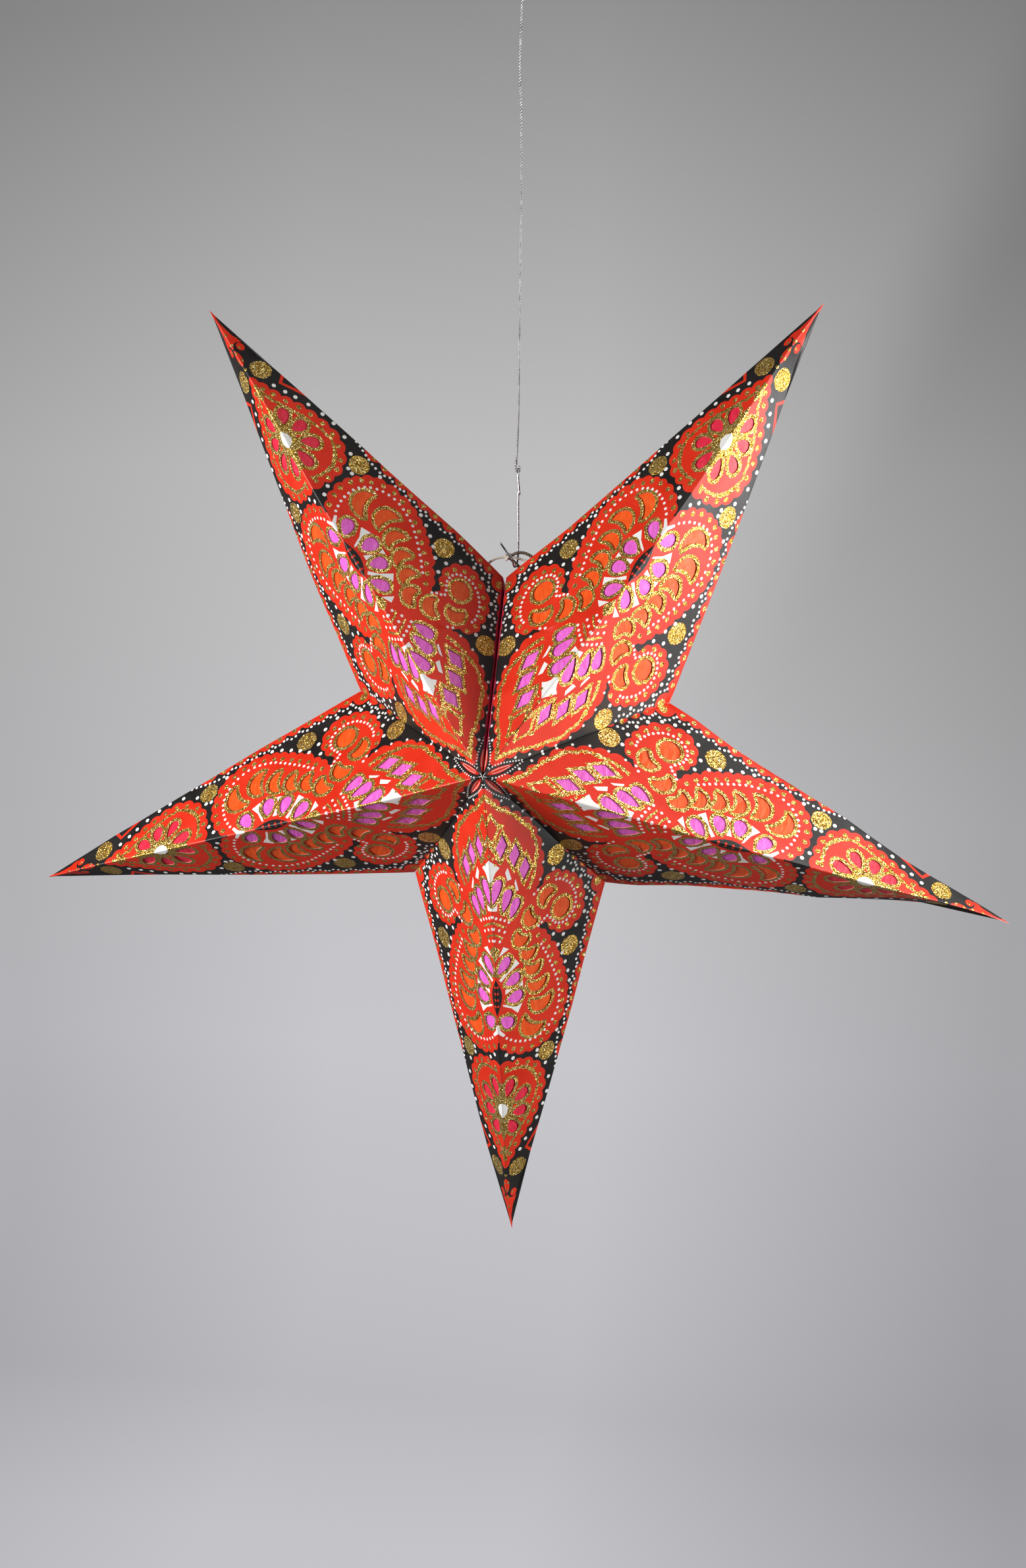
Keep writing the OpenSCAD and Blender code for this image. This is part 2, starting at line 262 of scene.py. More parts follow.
def resampled(points, step, closed=False):
    p = [Vector(q) for q in points] + ([Vector(points[0])] if closed else [])
    out = [p[0].copy()]
    carry = 0.0
    for a, b in zip(p, p[1:]):
        length = (b - a).length
        at = step - carry
        while at < length:
            out.append(a + (b - a) * (at / length))
            at += step
        carry = length - (at - step)
    if not closed:
        out.append(p[-1])
    elif (out[-1] - out[0]).length < step * 0.4:
        out.pop()
    return out


def sideways(p, i, closed):
    n = len(p)
    a = p[(i - 1) % n] if closed else p[max(i - 1, 0)]
    b = p[(i + 1) % n] if closed else p[min(i + 1, n - 1)]
    d = (b - a).normalized()
    return Vector((-d.y, d.x))


# ragged line of glitter along a run of points, as short four-sided dabs that overlap
def glitterLine(points, width, rough=0.3, step=1.5, closed=False):
    p = resampled(points, step, closed)
    n = len(p)
    left, right = [], []
    for i in range(n):
        s = sideways(p, i, closed)
        left.append(p[i] + s * width * (0.5 + rng.uniform(-rough, rough)))
        right.append(p[i] - s * width * (0.5 + rng.uniform(-rough, rough)))
    if closed:
        return [[tuple(q) for q in left], [tuple(q) for q in right]]
    return [[tuple(q) for q in left + right[::-1]]]


# outline grown outwards by a ragged width
def grown(points, width, rough=0.0, step=1.3):
    p = resampled(ccw(points), step, True)
    return [tuple(p[i] - sideways(p, i, True) * (width + rng.uniform(-rough, rough))) for i in range(len(p))]


windowArt = {
    "tipPetals": [(217, 7, -17, 9.5, 7.6), (227.6, 16.8, -65, 8.4, 7.6), (240.5, 15, -102, 7.6, 7.6),
                  (251, 8, -156, 8, 7.6)],
    "fanPetals": [(128, 8.4, -47, 8.8, 8.2), (142, 15, -81, 8, 8.4), (155.4, 16.2, -98, 8.3, 8.8),
                  (171.8, 9, -134, 8.6, 8.2)],
    "featherPetals": [(74, 5.6, -19, 12.6, 7.8), (83, 12.8, -21, 11.6, 7.8), (91, 18.6, -30, 10, 7.8)],
    "diamonds": [(50, 10), (58.8, 19.2), (70, 26.4)],
    "diamondTurn": -7,
    "diamondHalf": (8.1, 4.4),
    "crescents": [(179.2, 27, 9.6, -38, 8), (165.2, 33.8, 8.5, -5, 8), (151, 32, 7.6, -5, 6.4),
                  (139, 29.3, 6.5, -10, 6.2),
                  (127.3, 26.5, 6.3, -12, 6.2), (115.7, 21.6, 6.4, -40, 7.2), (104.8, 30.5, 6.7, -63, 7.4),
                  (95.8, 43.2, 6.4, -142, 7.4)],
    "crescentCut": 1.6,
    "disc": (107.8, 54, 6.8),
    "bandWidth": 2.35,
    "bandRough": 0.42,
}


def turned(points, angle, x, y):
    c, s = math.cos(math.radians(angle)), math.sin(math.radians(angle))
    return [(x + px * c - py * s, y + px * s + py * c) for px, py in points]


def petalWindow(x, y, angle, length, width):
    r = width / 2
    side = (length * length + r * r) / width
    sweep = math.asin(length / side)
    upper = [(side * math.sin(t), side * (math.cos(t) - 1) + r) for t in (sweep * k / 5 for k in range(6))]
    back = [(r * math.cos(a), r * math.sin(a)) for a in (math.radians(v) for v in range(105, 260, 15))]
    return turned(upper[::-1] + back + [(px, -py) for px, py in upper[:-1]], angle, x, y)


def crescentWindow(x, y, r, angle, thick):
    cut = windowArt["crescentCut"] * r
    middle = r - thick - cut
    meet = (r * r - cut * cut + middle * middle) / (2 * middle)
    half = math.acos(meet / r)
    inner = math.acos((meet - middle) / cut)
    outer = [(r * math.cos(a), r * math.sin(a)) for a in (-half + 2 * half * k / 20 for k in range(21))]
    inward = [inner - 2 * inner * k / 7 for k in range(1, 7)]
    hollow = [(middle + cut * math.cos(a), cut * math.sin(a)) for a in inward]
    return turned(outer + hollow, angle, x, y)


def windowShapes():
    shapes = [petalWindow(*p) for key in ("tipPetals", "fanPetals", "featherPetals") for p in windowArt[key]]
    shapes += [crescentWindow(*c) for c in windowArt["crescents"]]
    x, y, r = windowArt["disc"]
    shapes.append([(x + r * math.cos(a), y + r * math.sin(a)) for a in (6.28319 * k / 28 for k in range(28))])
    l, h = windowArt["diamondHalf"]
    for x, y in windowArt["diamonds"]:
        shapes.append(turned([(-l, 0), (0, -h), (l, 0), (0, h)], windowArt["diamondTurn"], x, y))
    return [ccw(s) for s in shapes]


# the print of one facet in mm: ridge along x from the apex, valley up to the notch at (105, 88.6)
printArt = {
    "lowerCusps": [(8, 0), (16.5, 6), (24, 10.5), (30, 18), (36.2, 25.5), (44, 33), (51.5, 36), (61.5, 38.8),
                   (72, 39.2), (82, 37.2), (86, 35)],
    "mainCusps": [(116.5, 37), (122, 41.5), (128, 44), (136.5, 49), (142, 50), (149, 52), (155.5, 53.6),
                  (162.5, 54), (170, 54), (178.5, 51),
                  (188, 46.5), (194.5, 40.5), (197.3, 33), (198.5, 27), (198, 20), (195, 12), (190.5, 5.5),
                  (183, 1)],
    "curlCusps": [(86, 40), (80.3, 47.5), (83.5, 55), (87, 61.5), (92.5, 67), (101, 70.5), (109.5, 70.5),
                  (117, 69.5), (122, 63.5), (124.5, 55),
                  (121, 47.5), (116, 43)],
    "tipCusps": [(200.5, -1), (201.5, 9.5), (203, 17.5), (208, 25.5), (215.5, 31), (224.3, 33),
                 (233.7, 31.2), (241.8, 27.5), (249.5, 23.3),
                 (256, 18), (262, 12.8), (268.5, 8), (275, 4), (280, -1)],
    "borderCusps": [(66, 58), (72.5, 63.5), (80.3, 69.3), (87.5, 75), (96, 80), (109, 82.5), (117.5, 79),
                    (125.5, 76.5), (134.5, 73.3), (143.5, 71),
                    (153.5, 67), (163.2, 62.7), (172, 59.5), (180.5, 57), (190.3, 53.8), (202, 50),
                    (215, 45.6)],
    "goldDots": [(83, 44), (83.5, 51), (87.5, 58), (92, 63), (98, 67), (105.5, 69), (112.5, 67), (118, 63.5),
                 (121.5, 57.5), (121, 51), (116, 44),
                 (187, 4.5), (192, 11), (195, 17), (196.5, 25), (195.5, 32), (192, 37.5), (187.5, 43.5),
                 (181, 48), (174, 50), (167, 50.8),
                 (159, 50.3), (152.5, 49), (145, 46.8), (138.5, 44.5), (131.5, 42), (125.5, 39), (120, 34.5),
                 (204, 5), (203.5, 13), (206.5, 21), (211.5, 26.5), (220.5, 30), (229, 30.5), (237.5, 28),
                 (245.5, 24), (252, 19.5), (258, 13.5),
                 (264.5, 8.5), (270, 4), (76.5, 64.5), (84, 71.5), (90.5, 78), (113.5, 81.5), (121, 78.5),
                 (130, 75.5), (138.5, 73),
                 (148.5, 69.5), (158.5, 65), (167, 61.5), (176, 57.5), (185.5, 55), (197.5, 50.6),
                 (206, 47.6)],
    "smallGoldDots": [(23, 0.6), (53, 0.6), (55.5, 3), (60, 4.6), (46, 1), (285.4, 0.6), (292, 2),
                      (297, 0.6), (303, 1.2), (310, 0.8)],
    "bigGoldDots": [(70, 50.5, 6.7), (137, 58.4, 6.8), (205, 36, 6.5), (283, 10, 6.7), (101, 82.4, 2.8)],
    "smallWhiteDots": [(182, 6.3), (184.5, 9.3), (187, 12.7), (188.8, 16.3), (190.2, 20), (191.2, 23.8),
                       (191.3, 27.8), (190.6, 31.7), (189.2, 35.2),
                       (187, 38.6), (184.3, 41.5), (181, 44), (177.4, 46), (173.3, 47.3), (169.3, 47.8),
                       (165.2, 48), (161, 47.9), (157.2, 47.4),
                       (153.2, 46.3), (149.5, 45.2), (145.7, 44), (141.8, 42.6), (138, 41.2), (134.2, 39.7),
                       (130.7, 38), (127, 36.5),
                       (90, 32.8), (88.3, 36), (86.7, 50.5), (87.3, 53.3), (89, 56), (91.2, 58.7),
                       (93.5, 61), (96.3, 62.6), (99.3, 64),
                       (102.2, 65), (105.5, 65.3), (108.8, 65), (111.8, 63.8), (114.3, 62.2), (116.7, 59.8),
                       (118.3, 57.3), (118.7, 54.2),
                       (118, 51.2), (116.5, 48.5), (114.2, 46.5), (111.5, 44.6), (109.2, 42.3), (110.2, 40),
                       (112, 37.8), (113.3, 35),
                       (93.5, 0.5), (95.2, 3), (97, 6.2), (99, 9.2), (101.3, 12.2), (101.7, 0.7), (104, 4.7),
                       (106.7, 8.6), (109.8, 0.7), (111.8, 4.6)],
    "chainDots": [(71.2, 61.5), (74.2, 60), (77.7, 59.8), (80.2, 62.2), (81, 65.5), (83.3, 66.3),
                  (86.3, 67.2), (88, 70.5), (89.8, 72), (93, 73),
                  (94.8, 75.6), (96.5, 77.3), (99.2, 75.5), (102.7, 74.8), (105.5, 76), (108, 78.3),
                  (109.8, 79.5), (111.8, 76.8), (114.8, 75.7),
                  (117.8, 76.7), (119.8, 74), (123.2, 73.3), (126, 74.2), (128, 71.6), (131.2, 70.7),
                  (134.3, 71.2), (136.2, 69.4), (138.7, 67.3),
                  (142, 67.3), (144.7, 67.7), (146.5, 64.8), (149.3, 63.2), (152.6, 63.8), (154.8, 62.8),
                  (157.3, 60.5), (160.5, 59.6), (163, 60.7),
                  (165, 58), (168.2, 57), (171.5, 57.3), (173.7, 55.2), (177, 54.3), (180.3, 54.8),
                  (182.3, 53), (185, 51.2), (188.5, 51),
                  (191.3, 50.7), (193.5, 48), (196.3, 46.2), (199.8, 45), (203, 44.3), (206.5, 43.8),
                  (209.8, 43.5), (213.2, 43.2), (216.5, 43),
                  (220, 42.4)],
    "eye": {"from": 3.0, "reach": 19, "half": 1.9, "dotsFrom": 1.6, "dotsReach": 25.6, "dotHalf": 3.4,
            "dots": 12, "dotSize": 0.55},
    "valleyDots": [(20, 11.8), (26.5, 19.5), (32.4, 26.3), (40, 32.5), (49, 38), (59.3, 40.6), (71, 40.6),
                   (81.7, 38)],
    "whiteDots": [(78.5, 48.3), (81, 56.5), (85.8, 64), (92.3, 69.7), (101, 73), (109.3, 73.3), (118, 71.4),
                  (125, 64.6), (127.3, 54.2),
                  (124, 46.4), (133, 49.6), (140.2, 52.4), (147.3, 54.4), (154.7, 56), (162.2, 56.6),
                  (193.7, 44.8), (194, 5.2), (198.5, 10),
                  (201.4, 28.7), (205.2, 28.2), (213.7, 34.7), (225.2, 36.8), (235.7, 35), (243.5, 31.5),
                  (252, 26.3), (259, 21), (264.2, 16.7),
                  (270.3, 12)],
    "whiteShapes": [[(65, 13.4), (67.5, 11.5), (73.4, 12.8), (73.4, 16)],
                    [(74.5, 19), (77, 18), (82.6, 19.3), (82.8, 21)],
                    [(54, -1), (56.4, 1), (63, 7.6), (64.8, 4.6), (67, 3), (71, 1.8), (78, 1.2), (85, 1),
                     (86.5, 4.5), (90.5, 4), (89, -1)],
                    [(116.5, 7), (122, 3), (119.5, 11)], [(138, 2.5), (140, 4), (136, 10), (133, 18.5),
                                                          (128.5, 15.5), (134.5, 8.5)],
                    [(146.8, 6.8), (150.2, 6.8), (148.3, 14)], [(148.2, 17), (149.8, 20.5), (146, 20.5)],
                    [(156.5, 4.5), (158, 5), (162, 11), (167.5, 15.5), (162, 19.2), (160, 12)],
                    [(170, -1), (176, 0), (180, 4), (179, 5.4), (174.5, 2), (170, 1)],
                    [(228, -1), (230.5, 2.6), (234, 4.5), (237.5, 3.4), (241, -1)]],
    "goldLines": [([(12, -0.6), (15, 2), (20, 5.4), (25, 10), (30, 17), (35, 22), (40, 26.5), (45, 31),
                    (50, 33), (55, 35), (60, 36), (65, 35.6),
                    (70, 34.4), (75, 33.8), (80, 31.6), (85, 28.6)], 2.5),
                  ([(206, 3), (206.6, 9), (207.5, 14), (209.6, 20), (214, 24), (220, 27), (226, 28),
                    (233, 26), (240, 22.4), (246, 18.6),
                    (252, 13.4), (258, 8.6), (264, 4), (269, 0.8)], 2.2),
                  ([(262, -0.5), (268, 1.6), (274, 0)], 2.6),
                  ([(97, -0.5), (100, 4.2), (104, 9.5)], 1.5), ([(105, -0.5), (107.4, 3.4), (110.5, 7)], 1.5),
                  ([(45, 0.6), (50, 3.6), (55, 5.8), (60.5, 8.4)], 2.2), ([(35, 8.4), (38, 11.6)], 2.4),
                  ([(56.6, 9.6), (50, 15.4)], 1.8),
                  ([(65.5, 18.6), (58.5, 25)], 1.8)],
    "goldFields": [[(213, -2), (213.4, 2), (222, 2.2), (227, 7.4), (230.4, 9.4), (236, 8), (241, 6.4),
                    (246, 3.6), (255, 1.8), (262, -2)],
                   [(113, -2), (114, 1.6), (117.6, 4.6), (121.6, 3), (124.4, 0.4), (128, -2)]],
    "diamondBand": (12.2, 6.9),
    "goldRing": [(26, 3.3), (36.5, 8.8), (47, 3.3), (36.5, -2.2)],
    "tipTriangle": [(271, 15.7), (255.6, 29.2), (277.2, 21)],
    "tipTriangleInside": [(270.8, 18), (259.6, 28.6), (275.3, 22.4)],
    "tipCurls": [[(288, -3), (288, 0.6), (291, 2.5), (294, 3), (297, 2.3), (299, 0.6), (299, -3)],
                 [(300, -3), (300.2, 0.6), (303.4, 2.3), (304.6, 5), (304, 8.6), (307.4, 7.2), (309.6, 5),
                  (314, 3.1), (318, 1.6), (322.5, 1.1), (324, 3), (340, 3), (340, -3)]],
}


# point beside the valley, t from its inner to its outer end
def besideValley(start, reach, t, half, lean=0.85):
    p = valleyDir * (start + reach * t) + valleyIn * (half * math.sin(math.pi * t ** lean))
    return float(p[0]), float(p[1])


def valleyEye(start, reach, half):
    side = [besideValley(start, reach, k / 10, half, 0.75) for k in range(11)]
    return side + [tuple(valleyDir * (start + reach) - valleyIn * 2.0),
                   tuple(valleyDir * start - valleyIn * 2.0)]


# every field of the print, the later ones over the earlier, as (outline, finish)
def printShapes():
    a = printArt
    shapes = []

    def add(points, finish):
        shapes.append((ccw([tuple(map(float, p)) for p in points]), finish))

    lower = [(6.2, -3)] + scallops(a["lowerCusps"], 0.24) + [(92, 33), (110, 33)]
    add(lower + scallops(a["mainCusps"], 0.24) + [(183, -3)], "red")
    add(scallops(a["curlCusps"], 0.26) + [(112.6, 41), (114, 33), (100, 24), (88, 33)], "red")
    add(scallops(a["tipCusps"], 0.25) + [(280, -3), (200.5, -3)], "red")
    add(scallops(a["borderCusps"], -0.3) + [(240, 50), (105, 104), (60, 62)], "red")
    for points in a["tipCurls"]:
        add(points, "red")
    add(disc(301.2, 6.2, 2.8, 14), "red")
    add(disc(300.6, 5.2, 1.0, 8, 0.2), "gold")
    add(a["tipTriangle"], "red")
    add(a["tipTriangleInside"], "black")
    # dark lens with red bars on the ridge
    lens = [(137 + 26 * k / 12, 4.3 * math.sin(math.pi * k / 12)) for k in range(13)]
    add(lens + [(163, -3), (137, -3)], "black")
    for x in (142.6, 147.2, 151.8, 156.4):
        add(disc(x, 1.1, 0.9, 9), "red")
    # small lens across each valley
    eye = a["eye"]
    add(valleyEye(eye["from"], eye["reach"], eye["half"]), "red")
    inner = [besideValley(eye["from"], eye["reach"], k / 12, eye["half"] * 0.52) for k in range(2, 11)]
    for ring in glitterLine(inner, 0.24, 0.0, 1.6):
        add(ring, "white")
    for k in range(eye["dots"]):
        x, y = besideValley(eye["dotsFrom"], eye["dotsReach"], 0.13 + 0.87 * k / (eye["dots"] - 1),
                            eye["dotHalf"], 0.62)
        add(disc(x + 0.5 * valleyIn[0], y + 0.5 * valleyIn[1], eye["dotSize"], 8), "white")
    # worn apex
    add([(-1, -1), (3.4, -1), (2.6, 0.16), (0.6, 0.34)], "white")
    for points in a["goldFields"]:
        add(grown(points, 0.0, 0.35), "gold")
    l, h = a["diamondBand"]
    for x, y in windowArt["diamonds"]:
        add(grown(turned([(-l, 0), (0, -h), (l, 0), (0, h)], windowArt["diamondTurn"], x, y), 0.0, 0.35),
            "gold")
    for points in a["whiteShapes"]:
        add(points, "white")
    for points, width in a["goldLines"]:
        for ring in glitterLine(points, width):
            add(ring, "gold")
    add(grown(a["goldRing"], 0.9, 0.3), "gold")
    add(grown(a["goldRing"], -1.2, 0.2, 1.8), "red")
    windows = windowShapes()
    for w in windows:
        if len(w) > 4:  # the diamonds have their own band
            add(grown(w, windowArt["bandWidth"], windowArt["bandRough"]), "gold")
    for x, y, r in a["bigGoldDots"]:
        add(disc(x, y, r, max(12, int(r * 5)), 0.05), "gold")
    for x, y in a["goldDots"]:
        add(disc(x, y, 1.65, 9, 0.2), "gold")
    for x, y in a["smallGoldDots"]:
        add(disc(x, y, 1.0, 7, 0.2), "gold")
    for key, r in (("smallWhiteDots", 1.0), ("chainDots", 0.95), ("valleyDots", 0.95), ("whiteDots", 1.36)):
        for x, y in a[key]:
            add(disc(x, y, r, 8), "white")
    for w in windows:
        add(w, "hole")
    return shapes


# where each fold's rounding needs lines of points
def foldLines():
    lines = []
    xs = [0.6, 2, 4, 7, 11, 16] + list(range(24, 312, 9)) + [315, 320, 323.5, 326, 327.4]
    for k in (1, 2, 3):
        ridge, edge, inner, outer = [], [], [], []
        for x in xs:
            w = min(x * valleyDir[1] / valleyDir[0], (ridgeLength - x) * -edgeDir[1] / edgeDir[0])
            s = min(1.0, w * 0.28 / star["foldRadius"])
            ridge.append((x, star["foldRadius"] * s * math.tan(ridgeHalfTurn) * k / 3))
            if x > notchFlat[0] + 1:
                e = star["foldRadius"] * s * math.tan(edgeHalfTurn) * k / 3
                edge.append((x, (ridgeLength - x) * -edgeDir[1] / edgeDir[0] - e / edgeDir[0]))
            elif x < notchFlat[0] - 1:
                v = star["tabFoldRadius"] * s * math.tan(valleyTurn / 2) * k / 2 / valleyDir[0]
                inner.append((x, x * valleyDir[1] / valleyDir[0] - v))
                outer.append((x, x * valleyDir[1] / valleyDir[0] + v))
        lines += [ridge, edge]
        if k < 3:
            lines += [inner, outer]
    lines.append([(x, x * valleyDir[1] / valleyDir[0]) for x in xs if x < notchFlat[0]])
    return lines


def flatOutline(tab):
    n = -valleyIn * tab
    return [(0.0, 0.0), (ridgeLength, 0.0), tuple(notchFlat), tuple(notchFlat + n - valleyDir * 2),
            tuple(n + valleyDir * 3)]


# cuts layered outlines into triangles that never cross a colour border; returns points, triangles
# and finishes
def cutFlat(shapes, lines, loose, base):
    verts, faces, edges = [], [], []

    def addRing(points):
        start = len(verts)
        verts.extend(Vector(p) for p in points)
        return list(range(start, len(verts)))

    faces.append(addRing(ccw(base)))
    for points, finish in shapes:
        faces.append(addRing(points))
    for line in lines:
        ids = addRing(line)
        edges += list(zip(ids, ids[1:]))
    addRing(loose)
    out = delaunay_2d_cdt(verts, edges, faces, 1, 1e-4, True)
    points = np.array([tuple(v) for v in out[0]])
    tris, finishes = [], []
    for tri, owners in zip(out[2], out[5]):
        if 0 not in owners:
            continue
        top = max(owners)
        tris.append(tri)
        finishes.append("black" if top == 0 else shapes[top - 1][1])
    return points, tris, finishes


def hexPoints(low, high, step, inside):
    out = []
    row = 0
    y = low[1]
    while y < high[1]:
        x = low[0] + (step / 2 if row % 2 else 0)
        while x < high[0]:
            p = (x + rng.uniform(-0.2, 0.2) * step, y + rng.uniform(-0.2, 0.2) * step)
            if inside(p):
                out.append(p)
            x += step
        y += step * 0.87
        row += 1
    return out


def insideFacet(p, margin):
    q = np.array(p)
    return p[1] > margin and (q - (ridgeLength, 0)) @ edgeIn > margin and q @ valleyIn > margin


print("flat print")
allShapes = [([(x * art, y * art) for x, y in points], finish) for points, finish in printShapes()]
flatPoints, flatTris, flatFinish = cutFlat(
    allShapes, foldLines(), hexPoints((0, 0), (ridgeLength, 90), 5.0, lambda p: insideFacet(p, 2.2)),
    flatOutline(5.0))
holes = [s for s in allShapes if s[1] == "hole"]
innerRing = [(8.0, 1.3), (ridgeLength - 8.0, 1.3), tuple(notchFlat + edgeIn * 1.3 + edgeDir * 2),
             tuple(notchFlat + valleyIn * 1.2 - valleyDir * 3)]
innerRing = [tuple(p) for p in resampled(ccw(innerRing), 6.0, True)]
innerPoints, innerTris, innerFinish = cutFlat(
    holes, [], hexPoints((0, 0), (ridgeLength, 90), 9.0, lambda p: insideFacet(p, 4)), innerRing)
print("flat print:", len(flatPoints), "points,", len(flatTris), "triangles")


# edges between the card and a window, in the order of the card's triangles
def windowEdges():
    kept, gone = set(), set()
    for tri, finish in zip(flatTris, flatFinish):
        pairs = [(tri[k], tri[(k + 1) % 3]) for k in range(3)]
        (gone if finish == "hole" else kept).update(pairs)
    return [(a, b) for a, b in kept if (b, a) in gone]


rims = windowEdges()


def foldMask(xy):
    valley = np.abs(xy @ valleyIn)
    edge = (xy - np.array([ridgeLength, 0])) @ edgeIn
    near = np.minimum(np.minimum(xy[:, 1], edge), valley)
    return clamp01(1 - near / 1.2)


class MeshParts:
    def __init__(self):
        self.points, self.faces, self.slots, self.fold, self.flat = [], [], [], [], []
        self.count = 0

    def add(self, points, faces, slots, fold=None, flat=None):
        self.points.append(points)
        self.faces += [tuple(i + self.count for i in f) for f in faces]
        self.slots += slots
        self.fold.append(np.zeros(len(points)) if fold is None else fold)
        self.flat.append(np.zeros((len(points), 2)) if flat is None else flat)
        self.count += len(points)


def linkMesh(name, points, faces, materials, slots=None, smooth=True):
    mesh = bpy.data.meshes.new(name)
    mesh.from_pydata([tuple(p) for p in points], [], [tuple(f) for f in faces])
    for m in materials:
        mesh.materials.append(m)
    if slots is not None:
        mesh.polygons.foreach_set("material_index", np.array(slots, dtype=np.int32))
    mesh.polygons.foreach_set("use_smooth", np.full(len(mesh.polygons), smooth))
    mesh.update()
    piece = bpy.data.objects.new(name, mesh)
    scene.collection.objects.link(piece)
    return piece


# joins points that lie on each other, so that the folds shade as one sheet
def welded(points, faces, slots, *extras):
    keys = np.round(points / (0.004 * mm)).astype(np.int64)
    _, first, inverse = np.unique(keys, axis=0, return_index=True, return_inverse=True)
    inverse = inverse.reshape(-1)
    keptFaces, keptSlots = [], []
    for face, slot in zip(faces, slots):
        f = tuple(int(inverse[i]) for i in face)
        if len(set(f)) == len(f):
            keptFaces.append(f)
            keptSlots.append(slot)
    return points[first], keptFaces, keptSlots, [e[first] for e in extras]


finishNames = ["black", "red", "white", "gold", "raw", "inside", "tab"]


# whether a triangle is on the crimson strip along the open valley, whose darker crimson is painted shade of
# the tab inside the seam
def onTabStrip(tri):
    points = flatPoints[list(tri)]
    return (points @ valleyIn).mean() < 1.0 and (points @ valleyDir).mean() > 17


tabTris = [onTabStrip(t) for t in flatTris]


def buildArm(arm, materials):
    outer = MeshParts()
    for face in (-1, 1):
        for side in (1, -1):
            bow = facetBow(arm, face, side)
            flip = (face < 0) == (side < 0)
            top = onFacet(flatPoints, 0.0, arm, face, side, bow)
            tris = [t if not flip else t[::-1] for t, f in zip(flatTris, flatFinish) if f != "hole"]
            seam = face < 0 and (arm, side) in star["seamShift"]
            slots = [finishNames.index("tab" if seam and onTab else f) for f,
                     onTab in zip(flatFinish, tabTris) if f != "hole"]
            outer.add(top, tris, slots, foldMask(flatPoints), flatPoints)
    points, faces, slots, (fold, flat) = welded(
        np.concatenate(outer.points), outer.faces, outer.slots, np.concatenate(outer.fold),
        np.concatenate(outer.flat))
    whole = MeshParts()
    whole.add(points, faces, slots, fold, flat)
    rimIds = sorted({i for pair in rims for i in pair})
    place = {v: k for k, v in enumerate(rimIds)}
    for face in (-1, 1):
        for side in (1, -1):
            bow = facetBow(arm, face, side)
            flip = (face < 0) == (side < 0)
            rimFlat = flatPoints[rimIds]
            lip = onFacet(rimFlat, 0.0, arm, face, side, bow)
            foot = onFacet(rimFlat, star["cardDepth"], arm, face, side, bow)
            n = len(rimIds)
            quads = []
            for a, b in rims:
                q = (place[b], place[a], place[a] + n, place[b] + n)
                quads.append(q[::-1] if flip else q)
            whole.add(np.concatenate([lip, foot]), quads, [finishNames.index("raw")] * len(quads))
            inner = onFacet(innerPoints, star["cardDepth"], arm, face, side, bow)
            tris = [t[::-1] if not flip else t for t, f in zip(innerTris, innerFinish) if f != "hole"]
            whole.add(inner, tris, [finishNames.index("inside")] * len(tris))
    piece = linkMesh("arm_%d_card" % (arm + 1), np.concatenate(whole.points), whole.faces, materials,
                     whole.slots)
    mask = piece.data.attributes.new("fold", "FLOAT", "POINT")
    mask.data.foreach_set("value", np.concatenate(whole.fold).astype(np.float32))
    piece.data.set_sharp_from_angle(angle=math.radians(46))
    return piece


# tissue sheets, their outlines on the drawn facet
tissueArt = {
    "tip": [(204, 0.9), (206, 46.5), (238, 34), (263, 24), (263, 0.9)],
    "ridge": [(36, 0.9), (40, 14), (52, 25), (66, 33), (80, 30), (88, 25), (99, 20.5), (106, 14),
              (118, 13.5), (134, 18.4), (138, 21),
              (160, 22.8), (170, 15.6), (180, 14), (184, 0.9)],
    "edge": [(106, 14.7), (118, 14.2), (134, 19.1), (138, 21.7), (160.2, 23.5), (170.4, 16.3), (180, 15.2),
             (193, 24), (199, 49.6),
             (128, 77.6), (117, 66), (98, 66), (86, 50), (87, 34), (99.5, 21.3)],
    "depth": 0.66,  # behind the printed face
    "crumple": 0.13,
    "gridStep": 3.2,
}


def insideRing(p, ring):
    hit = False
    for (ax, ay), (bx, by) in zip(ring, ring[1:] + ring[:1]):
        if (ay > p[1]) != (by > p[1]) and p[0] < ax + (p[1] - ay) * (bx - ax) / (by - ay):
            hit = not hit
    return hit


def flatTissue(outline):
    ring = ccw([(x * art, y * art) for x, y in outline])
    low = (min(p[0] for p in ring), min(p[1] for p in ring))
    high = (max(p[0] for p in ring), max(p[1] for p in ring))
    ring = [tuple(p) for p in resampled(ring, 4.0, True)]
    loose = hexPoints(low, high, tissueArt["gridStep"], lambda p: insideRing(p, ring) and insideFacet(p, 1.4))
    points, tris, _ = cutFlat([], [], loose, ring)
    return points, tris


def buildTissue(name, flat, arm, quarters, material, seed):
    parts = MeshParts()
    points, tris = flat
    for face, side in quarters:
        bow = facetBow(arm, face, side)
        shift = Vector((seed * 31.7, face * 9.1, side * 5.3))
        broad = np.array([noise.noise(Vector((x / 7.0, y / 2.6, 0)) + shift) for x, y in points])
        fine = np.array([noise.noise(Vector((x / 2.4, y / 3.8, 4)) + shift) for x, y in points])
        crease = broad + 0.6 * fine
        placed = onFacet(points, tissueArt["depth"] + tissueArt["crumple"] * crease, arm, face, side, bow)
        flip = (face < 0) == (side < 0)
        parts.add(placed, [t if not flip else t[::-1] for t in tris], [0] * len(tris))
    return linkMesh(name, np.concatenate(parts.points), parts.faces, [material], parts.slots)


